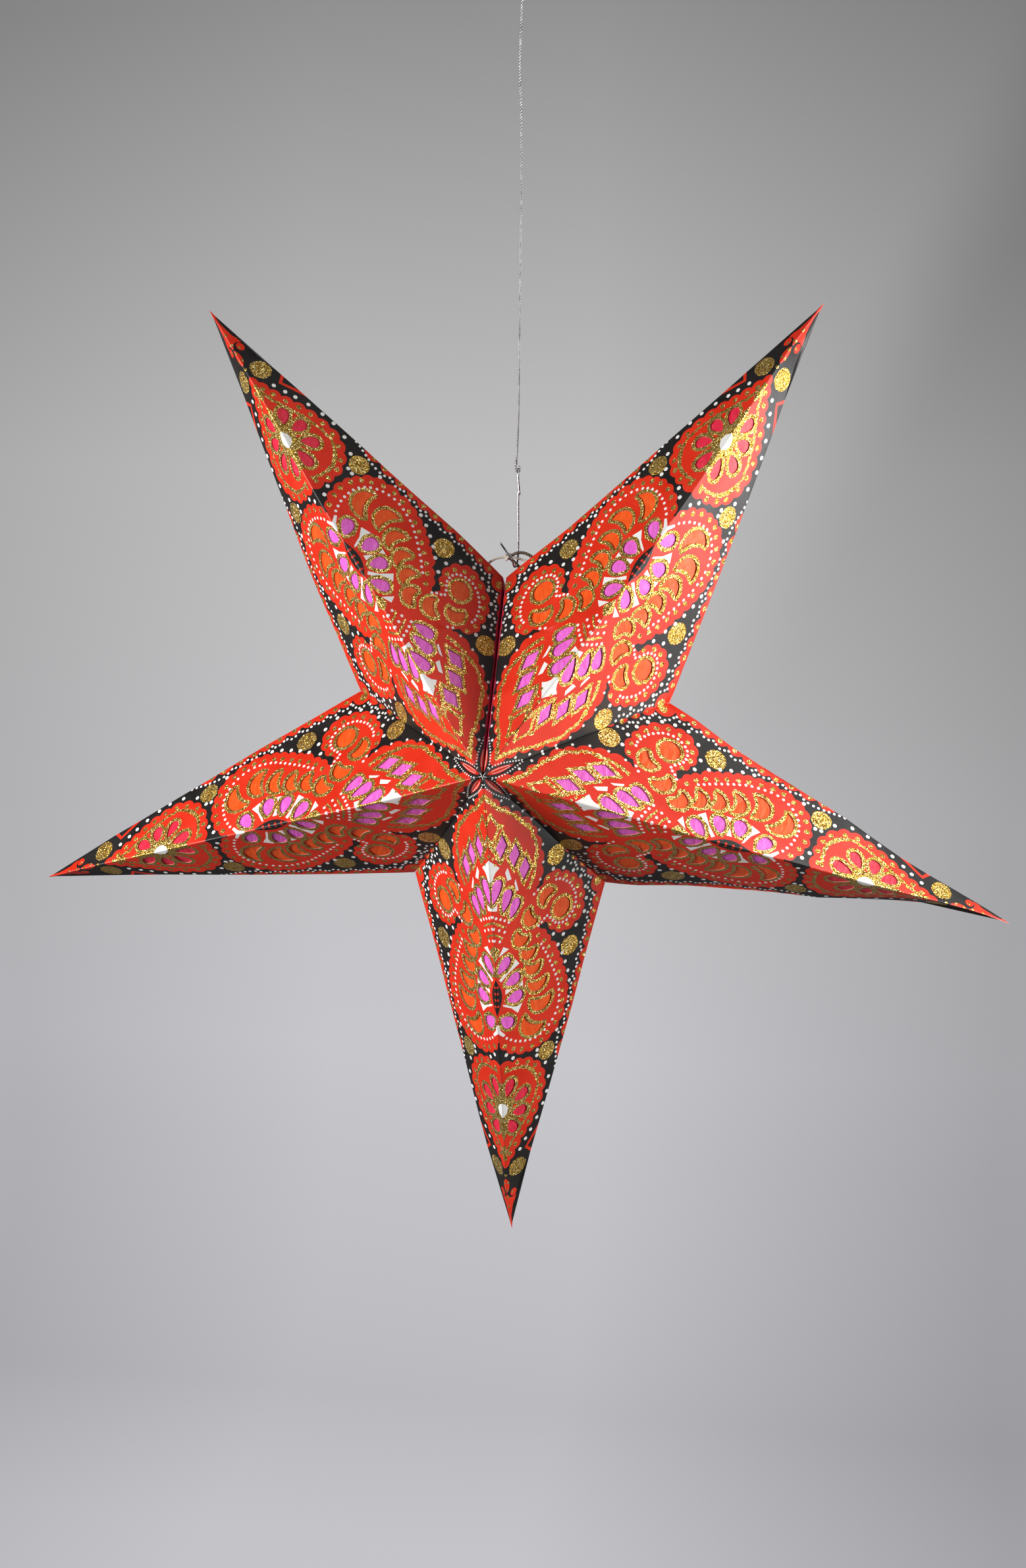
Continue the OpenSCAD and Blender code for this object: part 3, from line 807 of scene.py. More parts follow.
# shader helpers
def newGroup(name, inputs, outputs):
    tree = bpy.data.node_groups.new(name, "ShaderNodeTree")
    for label, kind, value in inputs:
        socket = tree.interface.new_socket(label, in_out="INPUT", socket_type=kind)
        socket.default_value = value
    for label, kind in outputs:
        tree.interface.new_socket(label, in_out="OUTPUT", socket_type=kind)
    return tree, tree.nodes.new("NodeGroupInput"), tree.nodes.new("NodeGroupOutput")


def node(tree, kind, **values):
    made = tree.nodes.new(kind)
    for key, value in values.items():
        setattr(made, key, value)
    return made


def link(tree, out, into):
    tree.links.new(out, into)


def maths(tree, operation, a, b=None, clamp=False):
    made = node(tree, "ShaderNodeMath", operation=operation, use_clamp=clamp)
    for k, v in enumerate((a, b)):
        if v is None:
            continue
        if isinstance(v, (int, float)):
            made.inputs[k].default_value = v
        else:
            link(tree, v, made.inputs[k])
    return made.outputs[0]


def blendColour(tree, factor, a, b):
    made = node(tree, "ShaderNodeMix", data_type="RGBA")
    link(tree, factor, made.inputs["Factor"])
    for socket, v in ((made.inputs[6], a), (made.inputs[7], b)):
        if isinstance(v, tuple):
            socket.default_value = (*v, 1)
        else:
            link(tree, v, socket)
    return made.outputs[2]


def ramp(tree, factor, stops):
    made = node(tree, "ShaderNodeValToRGB")
    bar = made.color_ramp
    while len(bar.elements) < len(stops):
        bar.elements.new(0.5)
    for e, (at, colour) in zip(bar.elements, stops):
        e.position = at
        e.color = (*colour, 1)
    link(tree, factor, made.inputs[0])
    return made.outputs[0]


# soft mottling and fine tooth of coated card
def paperGrainGroup():
    tree, gin, gout = newGroup("paperGrain", [("Scale", "NodeSocketFloat", 1.0)],
                               [("Mottle", "NodeSocketFloat"), ("Height", "NodeSocketFloat")])
    coords = node(tree, "ShaderNodeTexCoord").outputs["Object"]
    broad = node(tree, "ShaderNodeTexNoise")
    broad.inputs["Detail"].default_value = 3
    link(tree, coords, broad.inputs["Vector"])
    link(tree, maths(tree, "MULTIPLY", gin.outputs["Scale"], 55.0), broad.inputs["Scale"])
    fine = node(tree, "ShaderNodeTexNoise")
    fine.inputs["Detail"].default_value = 2
    link(tree, coords, fine.inputs["Vector"])
    link(tree, maths(tree, "MULTIPLY", gin.outputs["Scale"], 900.0), fine.inputs["Scale"])
    link(tree, broad.outputs["Fac"], gout.inputs["Mottle"])
    link(tree, maths(tree, "ADD", maths(tree, "MULTIPLY", broad.outputs["Fac"], 3.0), fine.outputs["Fac"]),
         gout.inputs["Height"])
    return tree


# broken line of bare paper where the card is folded
def foldWearGroup():
    tree, gin, gout = newGroup("foldWear", [("Amount", "NodeSocketFloat", 0.5)],
                               [("Mask", "NodeSocketFloat")])
    fold = node(tree, "ShaderNodeAttribute", attribute_name="fold", attribute_type="GEOMETRY").outputs["Fac"]
    patch = node(tree, "ShaderNodeTexNoise")
    patch.inputs["Scale"].default_value = 190.0
    patch.inputs["Detail"].default_value = 4
    link(tree, node(tree, "ShaderNodeTexCoord").outputs["Object"], patch.inputs["Vector"])
    worn = maths(tree, "MULTIPLY", patch.outputs["Fac"], gin.outputs["Amount"])
    reach = maths(tree, "SUBTRACT", fold, maths(tree, "SUBTRACT", 1.16, worn))
    link(tree, maths(tree, "MULTIPLY", reach, 9.0, clamp=True), gout.inputs["Mask"])
    return tree


# loose metal flakes in glue: each cell its own tilt, and its own colour from dark brown to near white, which
# is partly the flakes' gold and partly painted shade and painted glints
def glitterGroup():
    tree, gin, gout = newGroup("glitterFlakes",
                               [("Scale", "NodeSocketFloat", 900.0), ("Tilt", "NodeSocketFloat", 0.9)],
                               [("Color", "NodeSocketColor"), ("Roughness", "NodeSocketFloat"),
                                ("Normal", "NodeSocketVector")])
    coords = node(tree, "ShaderNodeTexCoord").outputs["Object"]
    cells = node(tree, "ShaderNodeTexVoronoi", feature="F1", distance="EUCLIDEAN")
    link(tree, coords, cells.inputs["Vector"])
    link(tree, gin.outputs["Scale"], cells.inputs["Scale"])
    parts = node(tree, "ShaderNodeSeparateColor")
    link(tree, cells.outputs["Color"], parts.inputs[0])
    small = node(tree, "ShaderNodeTexVoronoi", feature="F1")
    link(tree, coords, small.inputs["Vector"])
    link(tree, maths(tree, "MULTIPLY", gin.outputs["Scale"], 2.1), small.inputs["Scale"])
    smallParts = node(tree, "ShaderNodeSeparateColor")
    link(tree, small.outputs["Color"], smallParts.inputs[0])
    pick = maths(tree, "ADD", maths(tree, "MULTIPLY", parts.outputs[0], 0.62),
                 maths(tree, "MULTIPLY", smallParts.outputs[1], 0.38))
    # the dark brown stops paint shade on the flakes and the near-white stops paint glints on them
    link(tree, ramp(tree, pick, [(0.16, (0.16, 0.06, 0.004)), (0.35, (0.38, 0.168, 0.009)),
                                 (0.51, (0.68, 0.36, 0.026)),
                                 (0.64, (1.0, 0.67, 0.115)), (0.79, (1.0, 0.94, 0.56))]),
                                 gout.inputs["Color"])
    link(tree, maths(tree, "ADD", maths(tree, "MULTIPLY", smallParts.outputs[0], 0.22), 0.2),
         gout.inputs["Roughness"])
    both = node(tree, "ShaderNodeVectorMath", operation="ADD")
    for k, flakes in enumerate((cells, small)):
        aside = node(tree, "ShaderNodeVectorMath", operation="SUBTRACT")
        link(tree, flakes.outputs["Color"], aside.inputs[0])
        aside.inputs[1].default_value = (0.5, 0.5, 0.5)
        link(tree, aside.outputs[0], both.inputs[k])
    scaled = node(tree, "ShaderNodeVectorMath", operation="SCALE")
    link(tree, both.outputs[0], scaled.inputs[0])
    link(tree, gin.outputs["Tilt"], scaled.inputs["Scale"])
    summed = node(tree, "ShaderNodeVectorMath", operation="ADD")
    link(tree, node(tree, "ShaderNodeNewGeometry").outputs["Normal"], summed.inputs[0])
    link(tree, scaled.outputs[0], summed.inputs[1])
    unit = node(tree, "ShaderNodeVectorMath", operation="NORMALIZE")
    link(tree, summed.outputs[0], unit.inputs[0])
    link(tree, unit.outputs[0], gout.inputs["Normal"])
    return tree


# soft creases of crepe tissue
def creaseGroup():
    tree, gin, gout = newGroup("tissueCreases", [("Scale", "NodeSocketFloat", 1.0)],
                               [("Streak", "NodeSocketFloat"), ("Height", "NodeSocketFloat")])
    coords = node(tree, "ShaderNodeTexCoord").outputs["Object"]
    mapping = node(tree, "ShaderNodeMapping")
    mapping.inputs["Rotation"].default_value = (0.3, 0.5, 0.6)
    mapping.inputs["Scale"].default_value = (1.0, 0.35, 0.3)
    link(tree, coords, mapping.inputs["Vector"])
    streak = node(tree, "ShaderNodeTexNoise")
    streak.inputs["Detail"].default_value = 5
    streak.inputs["Roughness"].default_value = 0.62
    streak.inputs["Distortion"].default_value = 0.9
    link(tree, mapping.outputs[0], streak.inputs["Vector"])
    link(tree, maths(tree, "MULTIPLY", gin.outputs["Scale"], 420.0), streak.inputs["Scale"])
    fold = node(tree, "ShaderNodeTexVoronoi", feature="DISTANCE_TO_EDGE")
    link(tree, mapping.outputs[0], fold.inputs["Vector"])
    link(tree, maths(tree, "MULTIPLY", gin.outputs["Scale"], 190.0), fold.inputs["Scale"])
    ridge = maths(tree, "MINIMUM", maths(tree, "MULTIPLY", fold.outputs["Distance"], 3.0), 1.0)
    link(tree, streak.outputs["Fac"], gout.inputs["Streak"])
    link(tree, maths(tree, "ADD", streak.outputs["Fac"], maths(tree, "MULTIPLY", ridge, 0.5)),
         gout.inputs["Height"])
    return tree


# spun fibres: fine streaks that turn a colour lighter and darker
def fibreGroup():
    tree, gin, gout = newGroup("spunFibre", [("Scale", "NodeSocketFloat", 1.0)],
                               [("Streak", "NodeSocketFloat"), ("Height", "NodeSocketFloat")])
    coords = node(tree, "ShaderNodeTexCoord").outputs["Object"]
    grain = node(tree, "ShaderNodeTexNoise")
    grain.inputs["Detail"].default_value = 6
    grain.inputs["Roughness"].default_value = 0.7
    link(tree, coords, grain.inputs["Vector"])
    link(tree, maths(tree, "MULTIPLY", gin.outputs["Scale"], 2600.0), grain.inputs["Scale"])
    link(tree, grain.outputs["Fac"], gout.inputs["Streak"])
    link(tree, grain.outputs["Fac"], gout.inputs["Height"])
    return tree


groups = {
    "grain": paperGrainGroup(),
    "wear": foldWearGroup(),
    "glitter": glitterGroup(),
    "crease": creaseGroup(),
    "fibre": fibreGroup(),
}


def newMaterial(name):
    material = bpy.data.materials.new(name)
    material.use_nodes = True
    tree = material.node_tree
    tree.nodes.clear()
    shader = node(tree, "ShaderNodeBsdfPrincipled")
    link(tree, shader.outputs[0], node(tree, "ShaderNodeOutputMaterial").inputs[0])
    return material, tree, shader


def groupNode(tree, key, **values):
    made = node(tree, "ShaderNodeGroup", node_tree=groups[key])
    for label, value in values.items():
        made.inputs[label].default_value = value
    return made


def bumped(tree, height, strength, distance, shader):
    bump = node(tree, "ShaderNodeBump")
    bump.inputs["Strength"].default_value = strength
    bump.inputs["Distance"].default_value = distance
    link(tree, height, bump.inputs["Height"])
    link(tree, bump.outputs[0], shader.inputs["Normal"])


def mapped(tree, value, low, high):
    made = node(tree, "ShaderNodeMapRange")
    made.inputs["From Min"].default_value = 0.3
    made.inputs["From Max"].default_value = 0.7
    made.inputs["To Min"].default_value = low
    made.inputs["To Max"].default_value = high
    link(tree, value, made.inputs["Value"])
    return made.outputs[0]


# linear colours: the darker and the lighter of each print, how worn its folds are, and its gloss
finishes = {
    "black": {"dark": (0.0085, 0.0065, 0.0058), "light": (0.0125, 0.0098, 0.009),
              "bare": (0.10, 0.085, 0.08), "wear": 0.36, "gloss": (0.40, 0.52)},
    "red": {"dark": (0.69, 0.020, 0.0013), "light": (0.80, 0.027, 0.0028), "bare": (0.93, 0.30, 0.24),
            "wear": 0.5, "gloss": (0.41, 0.53)},
    "white": {"dark": (0.88, 0.87, 0.83), "light": (0.93, 0.92, 0.89), "bare": (0.42, 0.30, 0.22),
              "wear": 0.4, "gloss": (0.40, 0.5)},
}


def printMaterial(name):
    f = finishes[name]
    material, tree, shader = newMaterial("print_" + name)
    grain = groupNode(tree, "grain", Scale=1.0)
    wear = groupNode(tree, "wear", Amount=f["wear"])
    ink = blendColour(tree, mapped(tree, grain.outputs["Mottle"], 0.0, 1.0), f["dark"], f["light"])
    link(tree, blendColour(tree, wear.outputs["Mask"], ink, f["bare"]), shader.inputs["Base Color"])
    link(tree, mapped(tree, grain.outputs["Mottle"], *f["gloss"]), shader.inputs["Roughness"])
    bumped(tree, grain.outputs["Height"], 0.10, 0.00025, shader)
    return material


def glitterMaterial():
    material, tree, shader = newMaterial("gold_glitter")
    flakes = groupNode(tree, "glitter", Scale=2200.0, Tilt=0.62)
    link(tree, flakes.outputs["Color"], shader.inputs["Base Color"])
    link(tree, flakes.outputs["Roughness"], shader.inputs["Roughness"])
    link(tree, flakes.outputs["Normal"], shader.inputs["Normal"])
    shader.inputs["Metallic"].default_value = 0.8
    return material


def cardMaterial(name, dark, light):
    material, tree, shader = newMaterial(name)
    grain = groupNode(tree, "grain", Scale=2.0)
    link(tree, blendColour(tree, mapped(tree, grain.outputs["Mottle"], 0.0, 1.0), dark, light),
         shader.inputs["Base Color"])
    shader.inputs["Roughness"].default_value = 0.85
    bumped(tree, grain.outputs["Height"], 0.2, 0.0003, shader)
    return material


def tissueMaterial(name, dark, light, pale):
    material, tree, shader = newMaterial(name)
    crease = groupNode(tree, "crease", Scale=1.0)
    colour = blendColour(tree, mapped(tree, crease.outputs["Streak"], 0.0, 1.0), dark, light)
    # the tops of the streaks are lightened towards the pale colour: a painted sheen on the crepe
    bright = maths(tree, "MULTIPLY", maths(tree, "SUBTRACT", crease.outputs["Streak"], 0.62), 5.0, clamp=True)
    link(tree, blendColour(tree, maths(tree, "MULTIPLY", bright, 0.5), colour, pale),
         shader.inputs["Base Color"])
    link(tree, mapped(tree, crease.outputs["Streak"], 0.38, 0.54), shader.inputs["Roughness"])
    shader.inputs["Specular IOR Level"].default_value = 0.8
    shader.inputs["Specular Tint"].default_value = (1.0, 0.85, 0.7, 1)
    bumped(tree, crease.outputs["Height"], 0.8, 0.0005, shader)
    return material


def fibreMaterial(name, dark, light):
    material, tree, shader = newMaterial(name)
    fibre = groupNode(tree, "fibre", Scale=1.0)
    link(tree, blendColour(tree, mapped(tree, fibre.outputs["Streak"], 0.0, 1.0), dark, light),
         shader.inputs["Base Color"])
    shader.inputs["Roughness"].default_value = 0.9
    shader.inputs["Sheen Weight"].default_value = 0.25
    bumped(tree, fibre.outputs["Height"], 0.6, 0.0003, shader)
    return material


def steelMaterial(name, dark, light, low, high):
    material, tree, shader = newMaterial(name)
    grain = groupNode(tree, "grain", Scale=4.0)
    link(tree, blendColour(tree, mapped(tree, grain.outputs["Mottle"], 0.0, 1.0), dark, light),
         shader.inputs["Base Color"])
    link(tree, mapped(tree, grain.outputs["Mottle"], low, high), shader.inputs["Roughness"])
    shader.inputs["Metallic"].default_value = 1.0
    return material


print("materials")
cardMaterials = [printMaterial("black"), printMaterial("red"), printMaterial("white"), glitterMaterial(),
                 cardMaterial("raw_edge", (0.55, 0.16, 0.12), (0.72, 0.32, 0.24)),
                 cardMaterial("card_back", (0.62, 0.58, 0.52), (0.74, 0.71, 0.65)),
                 # the tab paper's dark crimson is painted shade of the tabs inside the open valley
                 cardMaterial("shaded_tab_paper", (0.42, 0.006, 0.045), (0.55, 0.012, 0.07))]
# the third colour of each tissue is its painted sheen
crimson = tissueMaterial("crimson_tissue", (0.76, 0.010, 0.040), (0.90, 0.026, 0.085), (0.95, 0.16, 0.22))
pink = tissueMaterial("pink_tissue", (0.80, 0.10, 0.58), (0.94, 0.19, 0.76), (0.97, 0.44, 0.90))
orange = tissueMaterial("orange_tissue", (0.90, 0.070, 0.003), (0.98, 0.125, 0.006), (0.98, 0.30, 0.08))
twine = fibreMaterial("cotton_twine", (0.72, 0.64, 0.53), (0.95, 0.90, 0.81))
# a darker copy of the twine: painted shade, for the loop that hangs in shadow
twineInShade = fibreMaterial("painted_shade_twine", (0.16, 0.125, 0.09), (0.36, 0.30, 0.235))
steel = steelMaterial("bright_wire", (0.42, 0.42, 0.43), (0.66, 0.66, 0.68), 0.16, 0.3)
lineSteel = steelMaterial("twisted_line", (0.38, 0.38, 0.39), (0.8, 0.8, 0.8), 0.3, 0.5)


# smooth run through the points of a route
def smoothRun(points, steps):
    p = [np.array(q, dtype=float) for q in points]
    out = []
    for i in range(len(p) - 1):
        a, b, c, d = p[max(i - 1, 0)], p[i], p[i + 1], p[min(i + 2, len(p) - 1)]
        for s in range(steps):
            t = s / steps
            square, cube = 2 * a - 5 * b + 4 * c - d, 3 * b - a - 3 * c + d
            out.append((2 * b + (c - a) * t + square * t * t + cube * t ** 3) / 2)
    return np.array(out + [p[-1]])


def evenly(run, step):
    lengths = np.concatenate([[0], np.cumsum(np.linalg.norm(np.diff(run, axis=0), axis=1))])
    n = max(2, int(round(lengths[-1] / step)) + 1)
    at = np.linspace(0, lengths[-1], n)
    return np.stack([np.interp(at, lengths, run[:, k]) for k in range(3)], axis=1)


# cross directions that don't twist along the run
def crossFrames(run):
    ahead = np.gradient(run, axis=0)
    ahead /= np.linalg.norm(ahead, axis=1)[:, None]
    side = np.cross(ahead[0], (0.3, 1.0, 0.2))
    side /= np.linalg.norm(side)
    sides = []
    for d in ahead:
        side = side - d * (side @ d)
        side /= np.linalg.norm(side)
        sides.append(side)
    sides = np.array(sides)
    return ahead, sides, np.cross(ahead, sides)


def tubeMesh(run, radii, sides, closed=False):
    _, u, v = crossFrames(run)
    n = len(run)
    angles = np.arange(sides) * 2 * math.pi / sides
    ring = np.cos(angles)[None, :, None] * u[:, None, :] + np.sin(angles)[None, :, None] * v[:, None, :]
    points = (run[:, None, :] + ring * np.array(radii).reshape(-1, 1, 1)).reshape(-1, 3)
    faces = []
    for i in range(n if closed else n - 1):
        j = (i + 1) % n
        for k in range(sides):
            m = (k + 1) % sides
            faces.append((i * sides + k, i * sides + m, j * sides + m, j * sides + k))
    if not closed:
        faces.append(tuple(range(sides))[::-1])
        faces.append(tuple((n - 1) * sides + k for k in range(sides)))
    return points, faces


# strands wound round a run; returns points and faces of all of them
def laidStrands(run, diameter, strands, pitch, sides, frayed=0.0, thin=1.0):
    _, u, v = crossFrames(run)
    travelled = np.concatenate([[0], np.cumsum(np.linalg.norm(np.diff(run, axis=0), axis=1))])
    radius = diameter / 2 / (1 + 1 / math.sin(math.pi / strands)) if strands > 2 else diameter / 4
    orbit = diameter / 2 - radius
    points, faces, count = [], [], 0
    for s in range(strands):
        turn = 2 * math.pi * (travelled / pitch + s / strands)
        aside = np.cos(turn)[:, None] * u + np.sin(turn)[:, None] * v
        line = run + orbit * (1 if thin < 1 else 0.94) * aside
        swell = radius * thin * (1.1 + frayed * np.sin(travelled * 2.3 + s * 2.1))
        p, f = tubeMesh(line, swell, sides)
        points.append(p)
        faces += [tuple(i + count for i in face) for face in f]
        count += len(p)
    return np.concatenate(points), faces


# what hangs the star, in mm from the open notch, on the routes of the CAD
hangArt = {
    "stringWidth": 1.6, "loopWidth": 2.0, "knotWidth": 5.8, "hookWidth": 1.1, "lineWidth": 1.4,
    "topLoopWidth": 12.0, "linePitch": 3.3, "lineThin": 0.72,
    "knot": (-2.6, 3.6, 12.3),
    "tie": [(-9, 3.4, 11.5), (-2.6, 3.6, 12.3), (3, 3.6, 11.7), (8, 3.6, 10.4)],
    "loop": [(-1.5, 4.6, 12.6), (1.5, 5.4, 14.2), (5, 6, 14.8), (9, 6.6, 13.8), (12.2, 7.6, 11.4),
             (14, 10, 8.4), (12.4, 11.6, 5.4),
             (9, 11, 4), (6, 8.6, 4.6), (3.6, 6.8, 6.4), (1, 5.6, 9.2), (-1.5, 4.6, 11.4)],
    "hook": [(4.3, 5.5, 49), (4, 5.2, 52), (3.6, 4.9, 57), (3.4, 5.3, 62), (3.1, 6.9, 64.4), (2.9, 8.5, 62),
             (2.9, 8.6, 57), (3, 7.8, 52.6),
             (3.2, 7.1, 49), (3.2, 7, 38), (3.2, 7.2, 26), (3, 7.8, 15), (2.6, 7.8, 9.6), (2.2, 6.4, 7),
             (1.8, 3.6, 6.4), (1.4, 0.9, 7.6),
             (0.8, -0.4, 10.6), (-2.8, -0.6, 16), (-6.6, -0.6, 21.4)],
    "line": [(4.2, 5.3, 66), (4, 6, 63.4), (3, 6.9, 62.4), (1.7, 7.4, 63.8), (1.8, 7.2, 68), (2.4, 7, 73),
             (3.4, 7, 98), (4, 7, 158),
             (4.8, 7, 218), (4.6, 7, 270), (4, 7, 290), (4.6, 7, 310), (5.5, 7, 332)],
    "holeAlong": 16.0, "holeInset": 3.0, "stopperWidth": 4.0, "holeWidth": 2.6,
}


def fromNotch(points):
    return (np.array(points, dtype=float) + (0, 0, star["notchRadius"]) + centre) * mm


# tie hole on the back of the arm right of the notch, from the notch, and the way out of it
def tieHole():
    p = notchFlat + hangArt["holeAlong"] * edgeDir + hangArt["holeInset"] * edgeIn
    local = np.array([p[0] * cr - p[1] * ct * sr, star["halfDepth"] - p[0] * sr - p[1] * ct * cr, p[1] * st])
    out = np.array([st * sr, st * cr, ct])
    a = math.radians(tipAngles[0])
    turn = lambda q: np.array([q[0] * math.cos(a) - q[2] * math.sin(a), q[1],
                               q[2] * math.cos(a) + q[0] * math.sin(a)])
    return turn(local) - np.array([0, 0, star["notchRadius"]]), turn(out)


print("line, hook and string")
lineRun = fromNotch(evenly(smoothRun(hangArt["line"], 12), 0.35))
linePoints, lineFaces = laidStrands(lineRun, hangArt["lineWidth"] * mm, 2, hangArt["linePitch"] * mm, 7, 0.0,
                                    hangArt["lineThin"])
linePiece = linkMesh("hanging_line", linePoints, lineFaces, [lineSteel])
loopRadius = (hangArt["topLoopWidth"] - hangArt["lineWidth"]) / 2
loopMiddle = np.array(hangArt["line"][-1]) + (0, 0, loopRadius)
ringTurns = np.linspace(0.02, 2 * math.pi - 0.02, 90)
ringRun = fromNotch([loopMiddle + (loopRadius * math.sin(t), 0, -loopRadius * math.cos(t)) for t in ringTurns])
loopPoints, loopFaces = laidStrands(ringRun, hangArt["lineWidth"] * mm, 2, hangArt["linePitch"] * mm, 7, 0.0,
                                    hangArt["lineThin"])
topLoop = linkMesh("line_top_loop", loopPoints, loopFaces, [lineSteel])


# tight turns of the line round itself
def whipping(name, middle, turns, wide, pitch, diameter, material):
    t = np.linspace(0, 2 * math.pi * turns, int(turns * 18))
    z = (t / (2 * math.pi) - turns / 2) * pitch
    run = np.stack([wide * np.cos(t), wide * np.sin(t), z], axis=1) + np.array(middle)
    p, f = tubeMesh(fromNotch(run), np.full(len(run), diameter / 2 * mm), 8)
    return linkMesh(name, p, f, [material])


topWhipping = whipping("line_top_knot", (5.3, 7, 328.6), 5, 0.9, 0.85, 0.8, lineSteel)
eyeWhipping = whipping("line_eye_knot", (1.95, 7.15, 69.2), 5, 0.6, 0.9, 0.5, lineSteel)

hookRun = evenly(smoothRun(hangArt["hook"], 10), 0.5)
hookRadii = np.full(len(hookRun), hangArt["hookWidth"] / 2 * mm)
hookRadii[:3] *= (0.55, 0.85, 0.97)
hookRadii[-3:] *= (0.97, 0.85, 0.55)
hookPoints, hookFaces = tubeMesh(fromNotch(hookRun), hookRadii, 14)
hookPiece = linkMesh("wire_hook", hookPoints, hookFaces, [steel])


def buildString():
    hole, out = tieHole()
    inside = hole - out * (0.5 + math.sqrt(hangArt["stopperWidth"] ** 2 / 4 - hangArt["holeWidth"] ** 2 / 4))
    across = lambda q: np.array([-q[0], q[1], q[2]])
    tie = hangArt["tie"]
    route = [across(inside), across(hole), across(hole + 1.4 * out), tie[0], tie[1], tie[2], tie[3],
             hole + 1.4 * out, hole, inside]
    run = evenly(smoothRun(route, 8), 0.35)
    p, f = laidStrands(fromNotch(run), hangArt["stringWidth"] * mm, 3, 4.2 * mm, 7, 0.08)
    parts = MeshParts()
    parts.add(p, f, [0] * len(f))
    # the loop is made in the darker twine as painted shade of the strand arching behind the knot
    run = evenly(smoothRun(hangArt["loop"], 8), 0.4)
    p, f = laidStrands(fromNotch(run), hangArt["loopWidth"] * mm, 3, 5.2 * mm, 7, 0.08)
    parts.add(p, f, [1] * len(f))
    # the knot is the same twine drawn up on itself, and so are the stoppers inside the arms
    knots = ((np.array(hangArt["knot"]), hangArt["knotWidth"], 0.4),
             (inside, hangArt["stopperWidth"], 1.4),
             (across(inside), hangArt["stopperWidth"], 2.2))
    for middle, size, turn in knots:
        t = np.linspace(0, 2 * math.pi, 73)[:-1]
        k = (size - 1.5) / 2 / 3.0
        x, y, z = np.sin(t) + 2 * np.sin(2 * t), np.cos(t) - 2 * np.cos(2 * t), -np.sin(3 * t) * 1.6
        c, s = math.cos(turn), math.sin(turn)
        knot = np.stack([x * k, (y * c - z * s) * k, (y * s + z * c) * k], axis=1) + middle
        p, f = tubeMesh(fromNotch(knot), 0.75 * mm * (1 + 0.07 * np.sin(9 * t)), 9, closed=True)
        parts.add(p, f, [0] * len(f))
    return linkMesh("tied_string", np.concatenate(parts.points), parts.faces, [twine, twineInShade], parts.slots)


stringPiece = buildString()

print("card arms")
arms = [buildArm(i, cardMaterials) for i in range(5)]
print("tissue")
tipFlat, ridgeFlat, edgeFlat = (flatTissue(tissueArt[k]) for k in ("tip", "ridge", "edge"))
tissues = []
for i in range(5):
    n = i + 1
    tissues += [
        (buildTissue("tip_tissue_%d" % n, tipFlat, i, [(-1, 1), (-1, -1), (1, 1), (1, -1)], crimson, n),
         "tip_lining_%d" % n, "crimson_tissue"),
        (buildTissue("front_tissue_%d" % n, ridgeFlat, i, [(-1, 1), (-1, -1)], pink, n + 5),
         "front_lining_%d" % n, "pink_tissue"),
        (buildTissue("back_tissue_%d" % n, ridgeFlat, i, [(1, 1), (1, -1)], pink, n + 10),
         "back_lining_%d" % n, "pink_tissue"),
        (buildTissue("left_tissue_%d" % n, edgeFlat, i, [(-1, 1), (1, 1)], orange, n + 15),
         "left_lining_%d" % n, "orange_tissue"),
        (buildTissue("right_tissue_%d" % n, edgeFlat, i, [(-1, -1), (1, -1)], orange, n + 20),
         "right_lining_%d" % n, "orange_tissue"),
    ]

# every piece rides on the one body; where it stands in for a CAD node, that node is hidden
for i, piece in enumerate(arms):
    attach(piece, "root")
    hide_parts("arm_%d" % (i + 1))
for piece, nodeName, slotName in tissues:
    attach(piece, "root")
    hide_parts(nodeName)
for piece, nodeName, slotName in ((stringPiece, "tie_string", "string"), (hookPiece, "hook", "wire"),
                                  (linePiece, "line", "line")):
    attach(piece, "root")
    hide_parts(nodeName)
for piece in (topLoop, topWhipping, eyeWhipping):
    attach(piece, "root")

# studio: two soft lamps beside the star, a weak one above, a pale sweep behind
studio = {
    "lamps": [("left_lamp", (-0.93, -0.70, 0.12), 0.55, 0.55, 17.2),
              ("right_lamp", (0.74, -0.07, 0.13), 0.3, 0.8, 9.6),
              ("top_lamp", (0.0, -0.35, 1.15), 0.9, 0.7, 1.4)],
    "worldStrength": 0.035,
    "floorZ": -0.62,
    "wallY": 0.47,
    "curve": 0.16,
    # painted light and shade on the sweep: grey up the sweep, then its share from left to right, and the soft
    # shade in the upper right corner
    "upward": [(0.0, (0.52, 0.52, 0.55)), (0.08, (0.46, 0.46, 0.49)), (0.33, (0.54, 0.54, 0.57)),
               (0.72, (0.47, 0.47, 0.47)), (1.0, (0.24, 0.24, 0.24))],
    "across": [(0.0, 0.76), (0.33, 0.97), (0.6, 0.98), (1.0, 0.62)],
    "cornerShade": 0.33,
    "cornerSlant": 0.74,
    # how far down and up, left and right of the middle those reach
    "gradeHeight": (-0.80, 0.51),
    "gradeWidth": (-0.538, 0.337),
    "matte": (0.05, 0.05, 0.05, 1),
    "bounce": (0.14, 0.14, 0.145, 1),  # what the star sees of it
}


# where a value lies between two others, from 0 to 1
def between(tree, value, low, high, kind="LINEAR"):
    made = node(tree, "ShaderNodeMapRange", interpolation_type=kind)
    made.inputs["From Min"].default_value = low
    made.inputs["From Max"].default_value = high
    link(tree, value, made.inputs["Value"])
    return made.outputs[0]


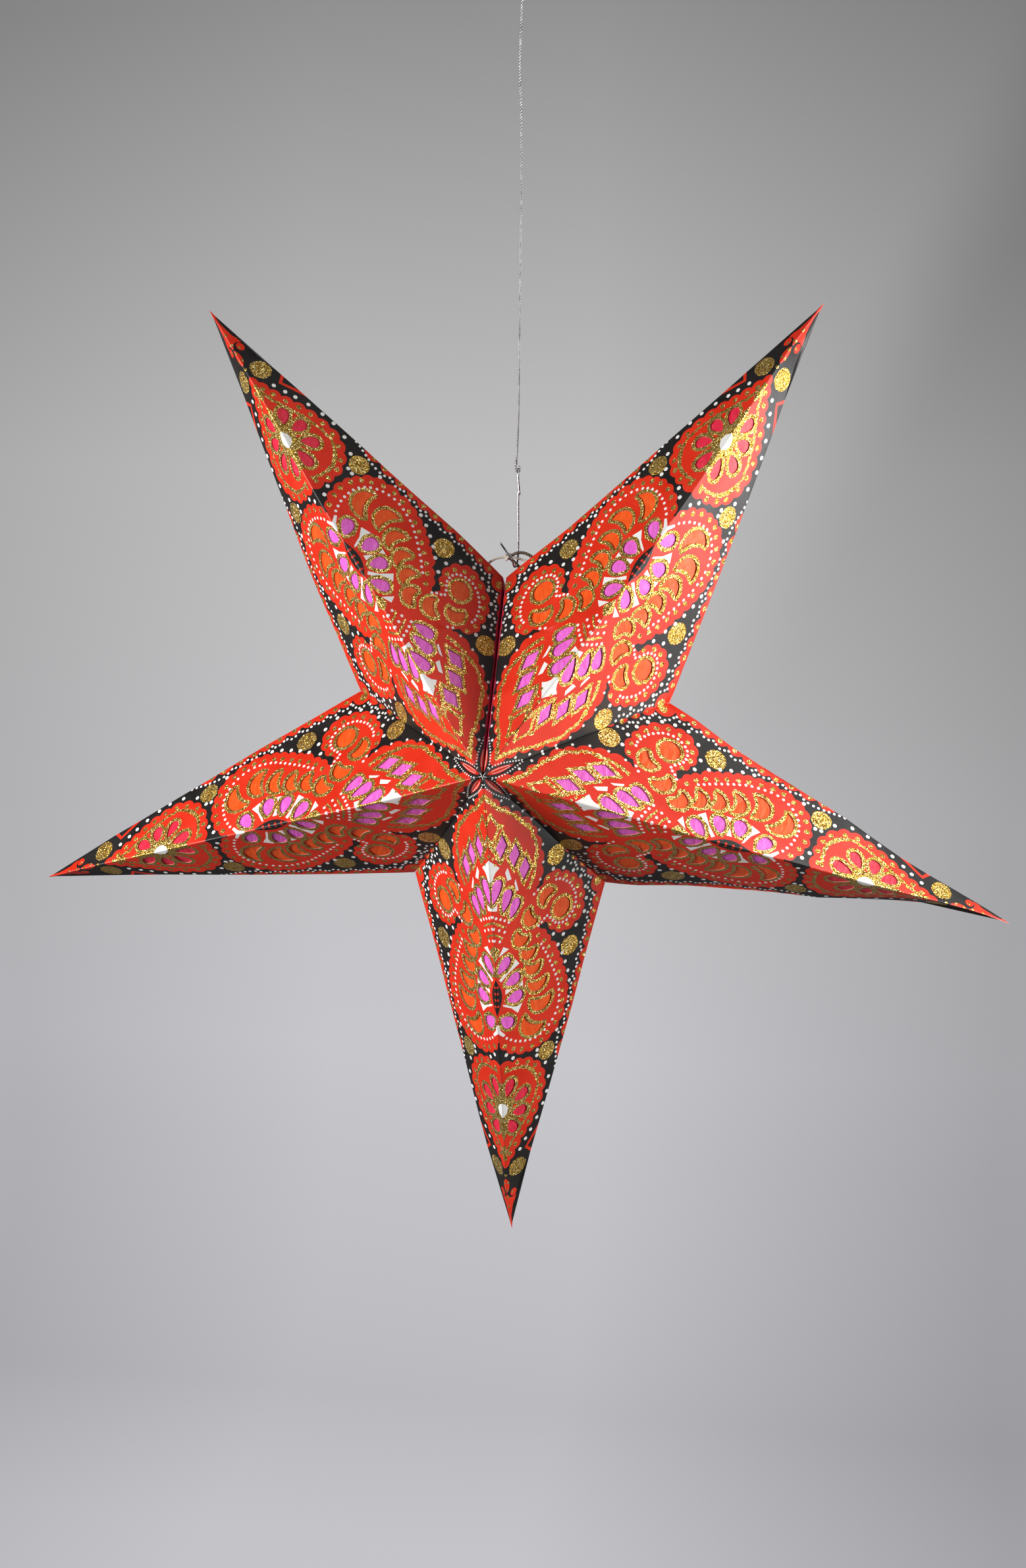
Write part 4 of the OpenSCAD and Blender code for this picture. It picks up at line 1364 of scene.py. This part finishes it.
def backdropMaterial(middle):
    material = bpy.data.materials.new("backdrop")
    material.use_nodes = True
    tree = material.node_tree
    tree.nodes.clear()
    spot = node(tree, "ShaderNodeSeparateXYZ")
    link(tree, node(tree, "ShaderNodeTexCoord").outputs["Object"], spot.inputs[0])
    # up the wall and, below it, towards the camera on the floor
    forward = maths(tree, "SUBTRACT", middle.y + studio["wallY"], spot.outputs["Y"])
    nearer = maths(tree, "MULTIPLY", forward, 0.5)
    low, high = studio["gradeHeight"]
    left, right = studio["gradeWidth"]
    raised = maths(tree, "SUBTRACT", spot.outputs["Z"], nearer)
    height = between(tree, raised, middle.z + low, middle.z + high)
    aside = between(tree, spot.outputs["X"], middle.x + left, middle.x + right)
    below = maths(tree, "SUBTRACT", 1.0, height)
    slant = maths(tree, "ADD", aside, maths(tree, "MULTIPLY", below, studio["cornerSlant"]))
    corner = maths(tree, "MULTIPLY", between(tree, slant, 0.96, 1.10, "SMOOTHSTEP"),
                   between(tree, height, 0.5, 0.85))
    lit = maths(tree, "SUBTRACT", 1.0, maths(tree, "MULTIPLY", corner, studio["cornerShade"]))
    share = ramp(tree, aside, [(at, (v, v, v)) for at, v in studio["across"]])
    tone = node(tree, "ShaderNodeMix", data_type="RGBA", blend_type="MULTIPLY")
    tone.inputs["Factor"].default_value = 1.0
    link(tree, ramp(tree, height, studio["upward"]), tone.inputs[6])
    link(tree, maths(tree, "MULTIPLY", share, lit), tone.inputs[7])
    # the sweep glows with this painted light and shade for camera and transmission rays
    glow = node(tree, "ShaderNodeEmission")
    link(tree, tone.outputs[2], glow.inputs["Color"])
    matte = node(tree, "ShaderNodeBsdfDiffuse")
    matte.inputs["Color"].default_value = studio["matte"]
    shown = node(tree, "ShaderNodeAddShader")
    link(tree, glow.outputs[0], shown.inputs[0])
    link(tree, matte.outputs[0], shown.inputs[1])
    plain = node(tree, "ShaderNodeBsdfDiffuse")
    plain.inputs["Color"].default_value = studio["bounce"]
    rays = node(tree, "ShaderNodeLightPath")
    seen = maths(tree, "MAXIMUM", rays.outputs["Is Camera Ray"], rays.outputs["Is Transmission Ray"])
    mix = node(tree, "ShaderNodeMixShader")
    link(tree, seen, mix.inputs[0])
    link(tree, plain.outputs[0], mix.inputs[1])
    link(tree, shown.outputs[0], mix.inputs[2])
    # clear from behind, so that the back of the star can be looked at
    sided = node(tree, "ShaderNodeMixShader")
    link(tree, node(tree, "ShaderNodeNewGeometry").outputs["Backfacing"], sided.inputs[0])
    link(tree, mix.outputs[0], sided.inputs[1])
    link(tree, node(tree, "ShaderNodeBsdfTransparent").outputs[0], sided.inputs[2])
    link(tree, sided.outputs[0], node(tree, "ShaderNodeOutputMaterial").inputs[0])
    return material


def buildStudio():
    middle = Vector(centre * mm)
    for name, at, width, height, power in studio["lamps"]:
        data = bpy.data.lights.new(name, "AREA")
        data.shape = "RECTANGLE"
        data.size, data.size_y, data.energy = width, height, power
        lamp = bpy.data.objects.new(name, data)
        lamp.location = middle + Vector(at)
        lamp.rotation_euler = (lamp.location - middle).to_track_quat("Z", "Y").to_euler()
        scene.collection.objects.link(lamp)
    world = bpy.data.worlds.new("room")
    scene.world = world
    world.use_nodes = True
    sky = world.node_tree.nodes["Background"]
    sky.inputs["Color"].default_value = (0.92, 0.95, 1.0, 1)
    sky.inputs["Strength"].default_value = studio["worldStrength"]
    # sweep: floor, curve, wall
    floorZ, wallY, r = studio["floorZ"], studio["wallY"], studio["curve"]
    profile = [(-2.2, floorZ), (-1.0, floorZ), (wallY - r, floorZ)]
    turns = [math.pi / 2 * k / 12 for k in range(1, 13)]
    profile += [(wallY - r + r * math.sin(a), floorZ + r - r * math.cos(a)) for a in turns]
    profile += [(wallY, 0.5), (wallY, 1.6)]
    xs = [-2.4, -1.2, -0.4, 0, 0.4, 1.2, 2.4]
    points = [(middle.x + x, middle.y + y, middle.z + z) for y, z in profile for x in xs]
    w = len(xs)
    corners = [(i * w + k, (i + 1) * w + k) for i in range(len(profile) - 1) for k in range(w - 1)]
    faces = [(a, a + 1, b + 1, b) for a, b in corners]
    sweep = linkMesh("sweep", points, faces, [backdropMaterial(middle)])


print("studio")
buildStudio()

print("done")
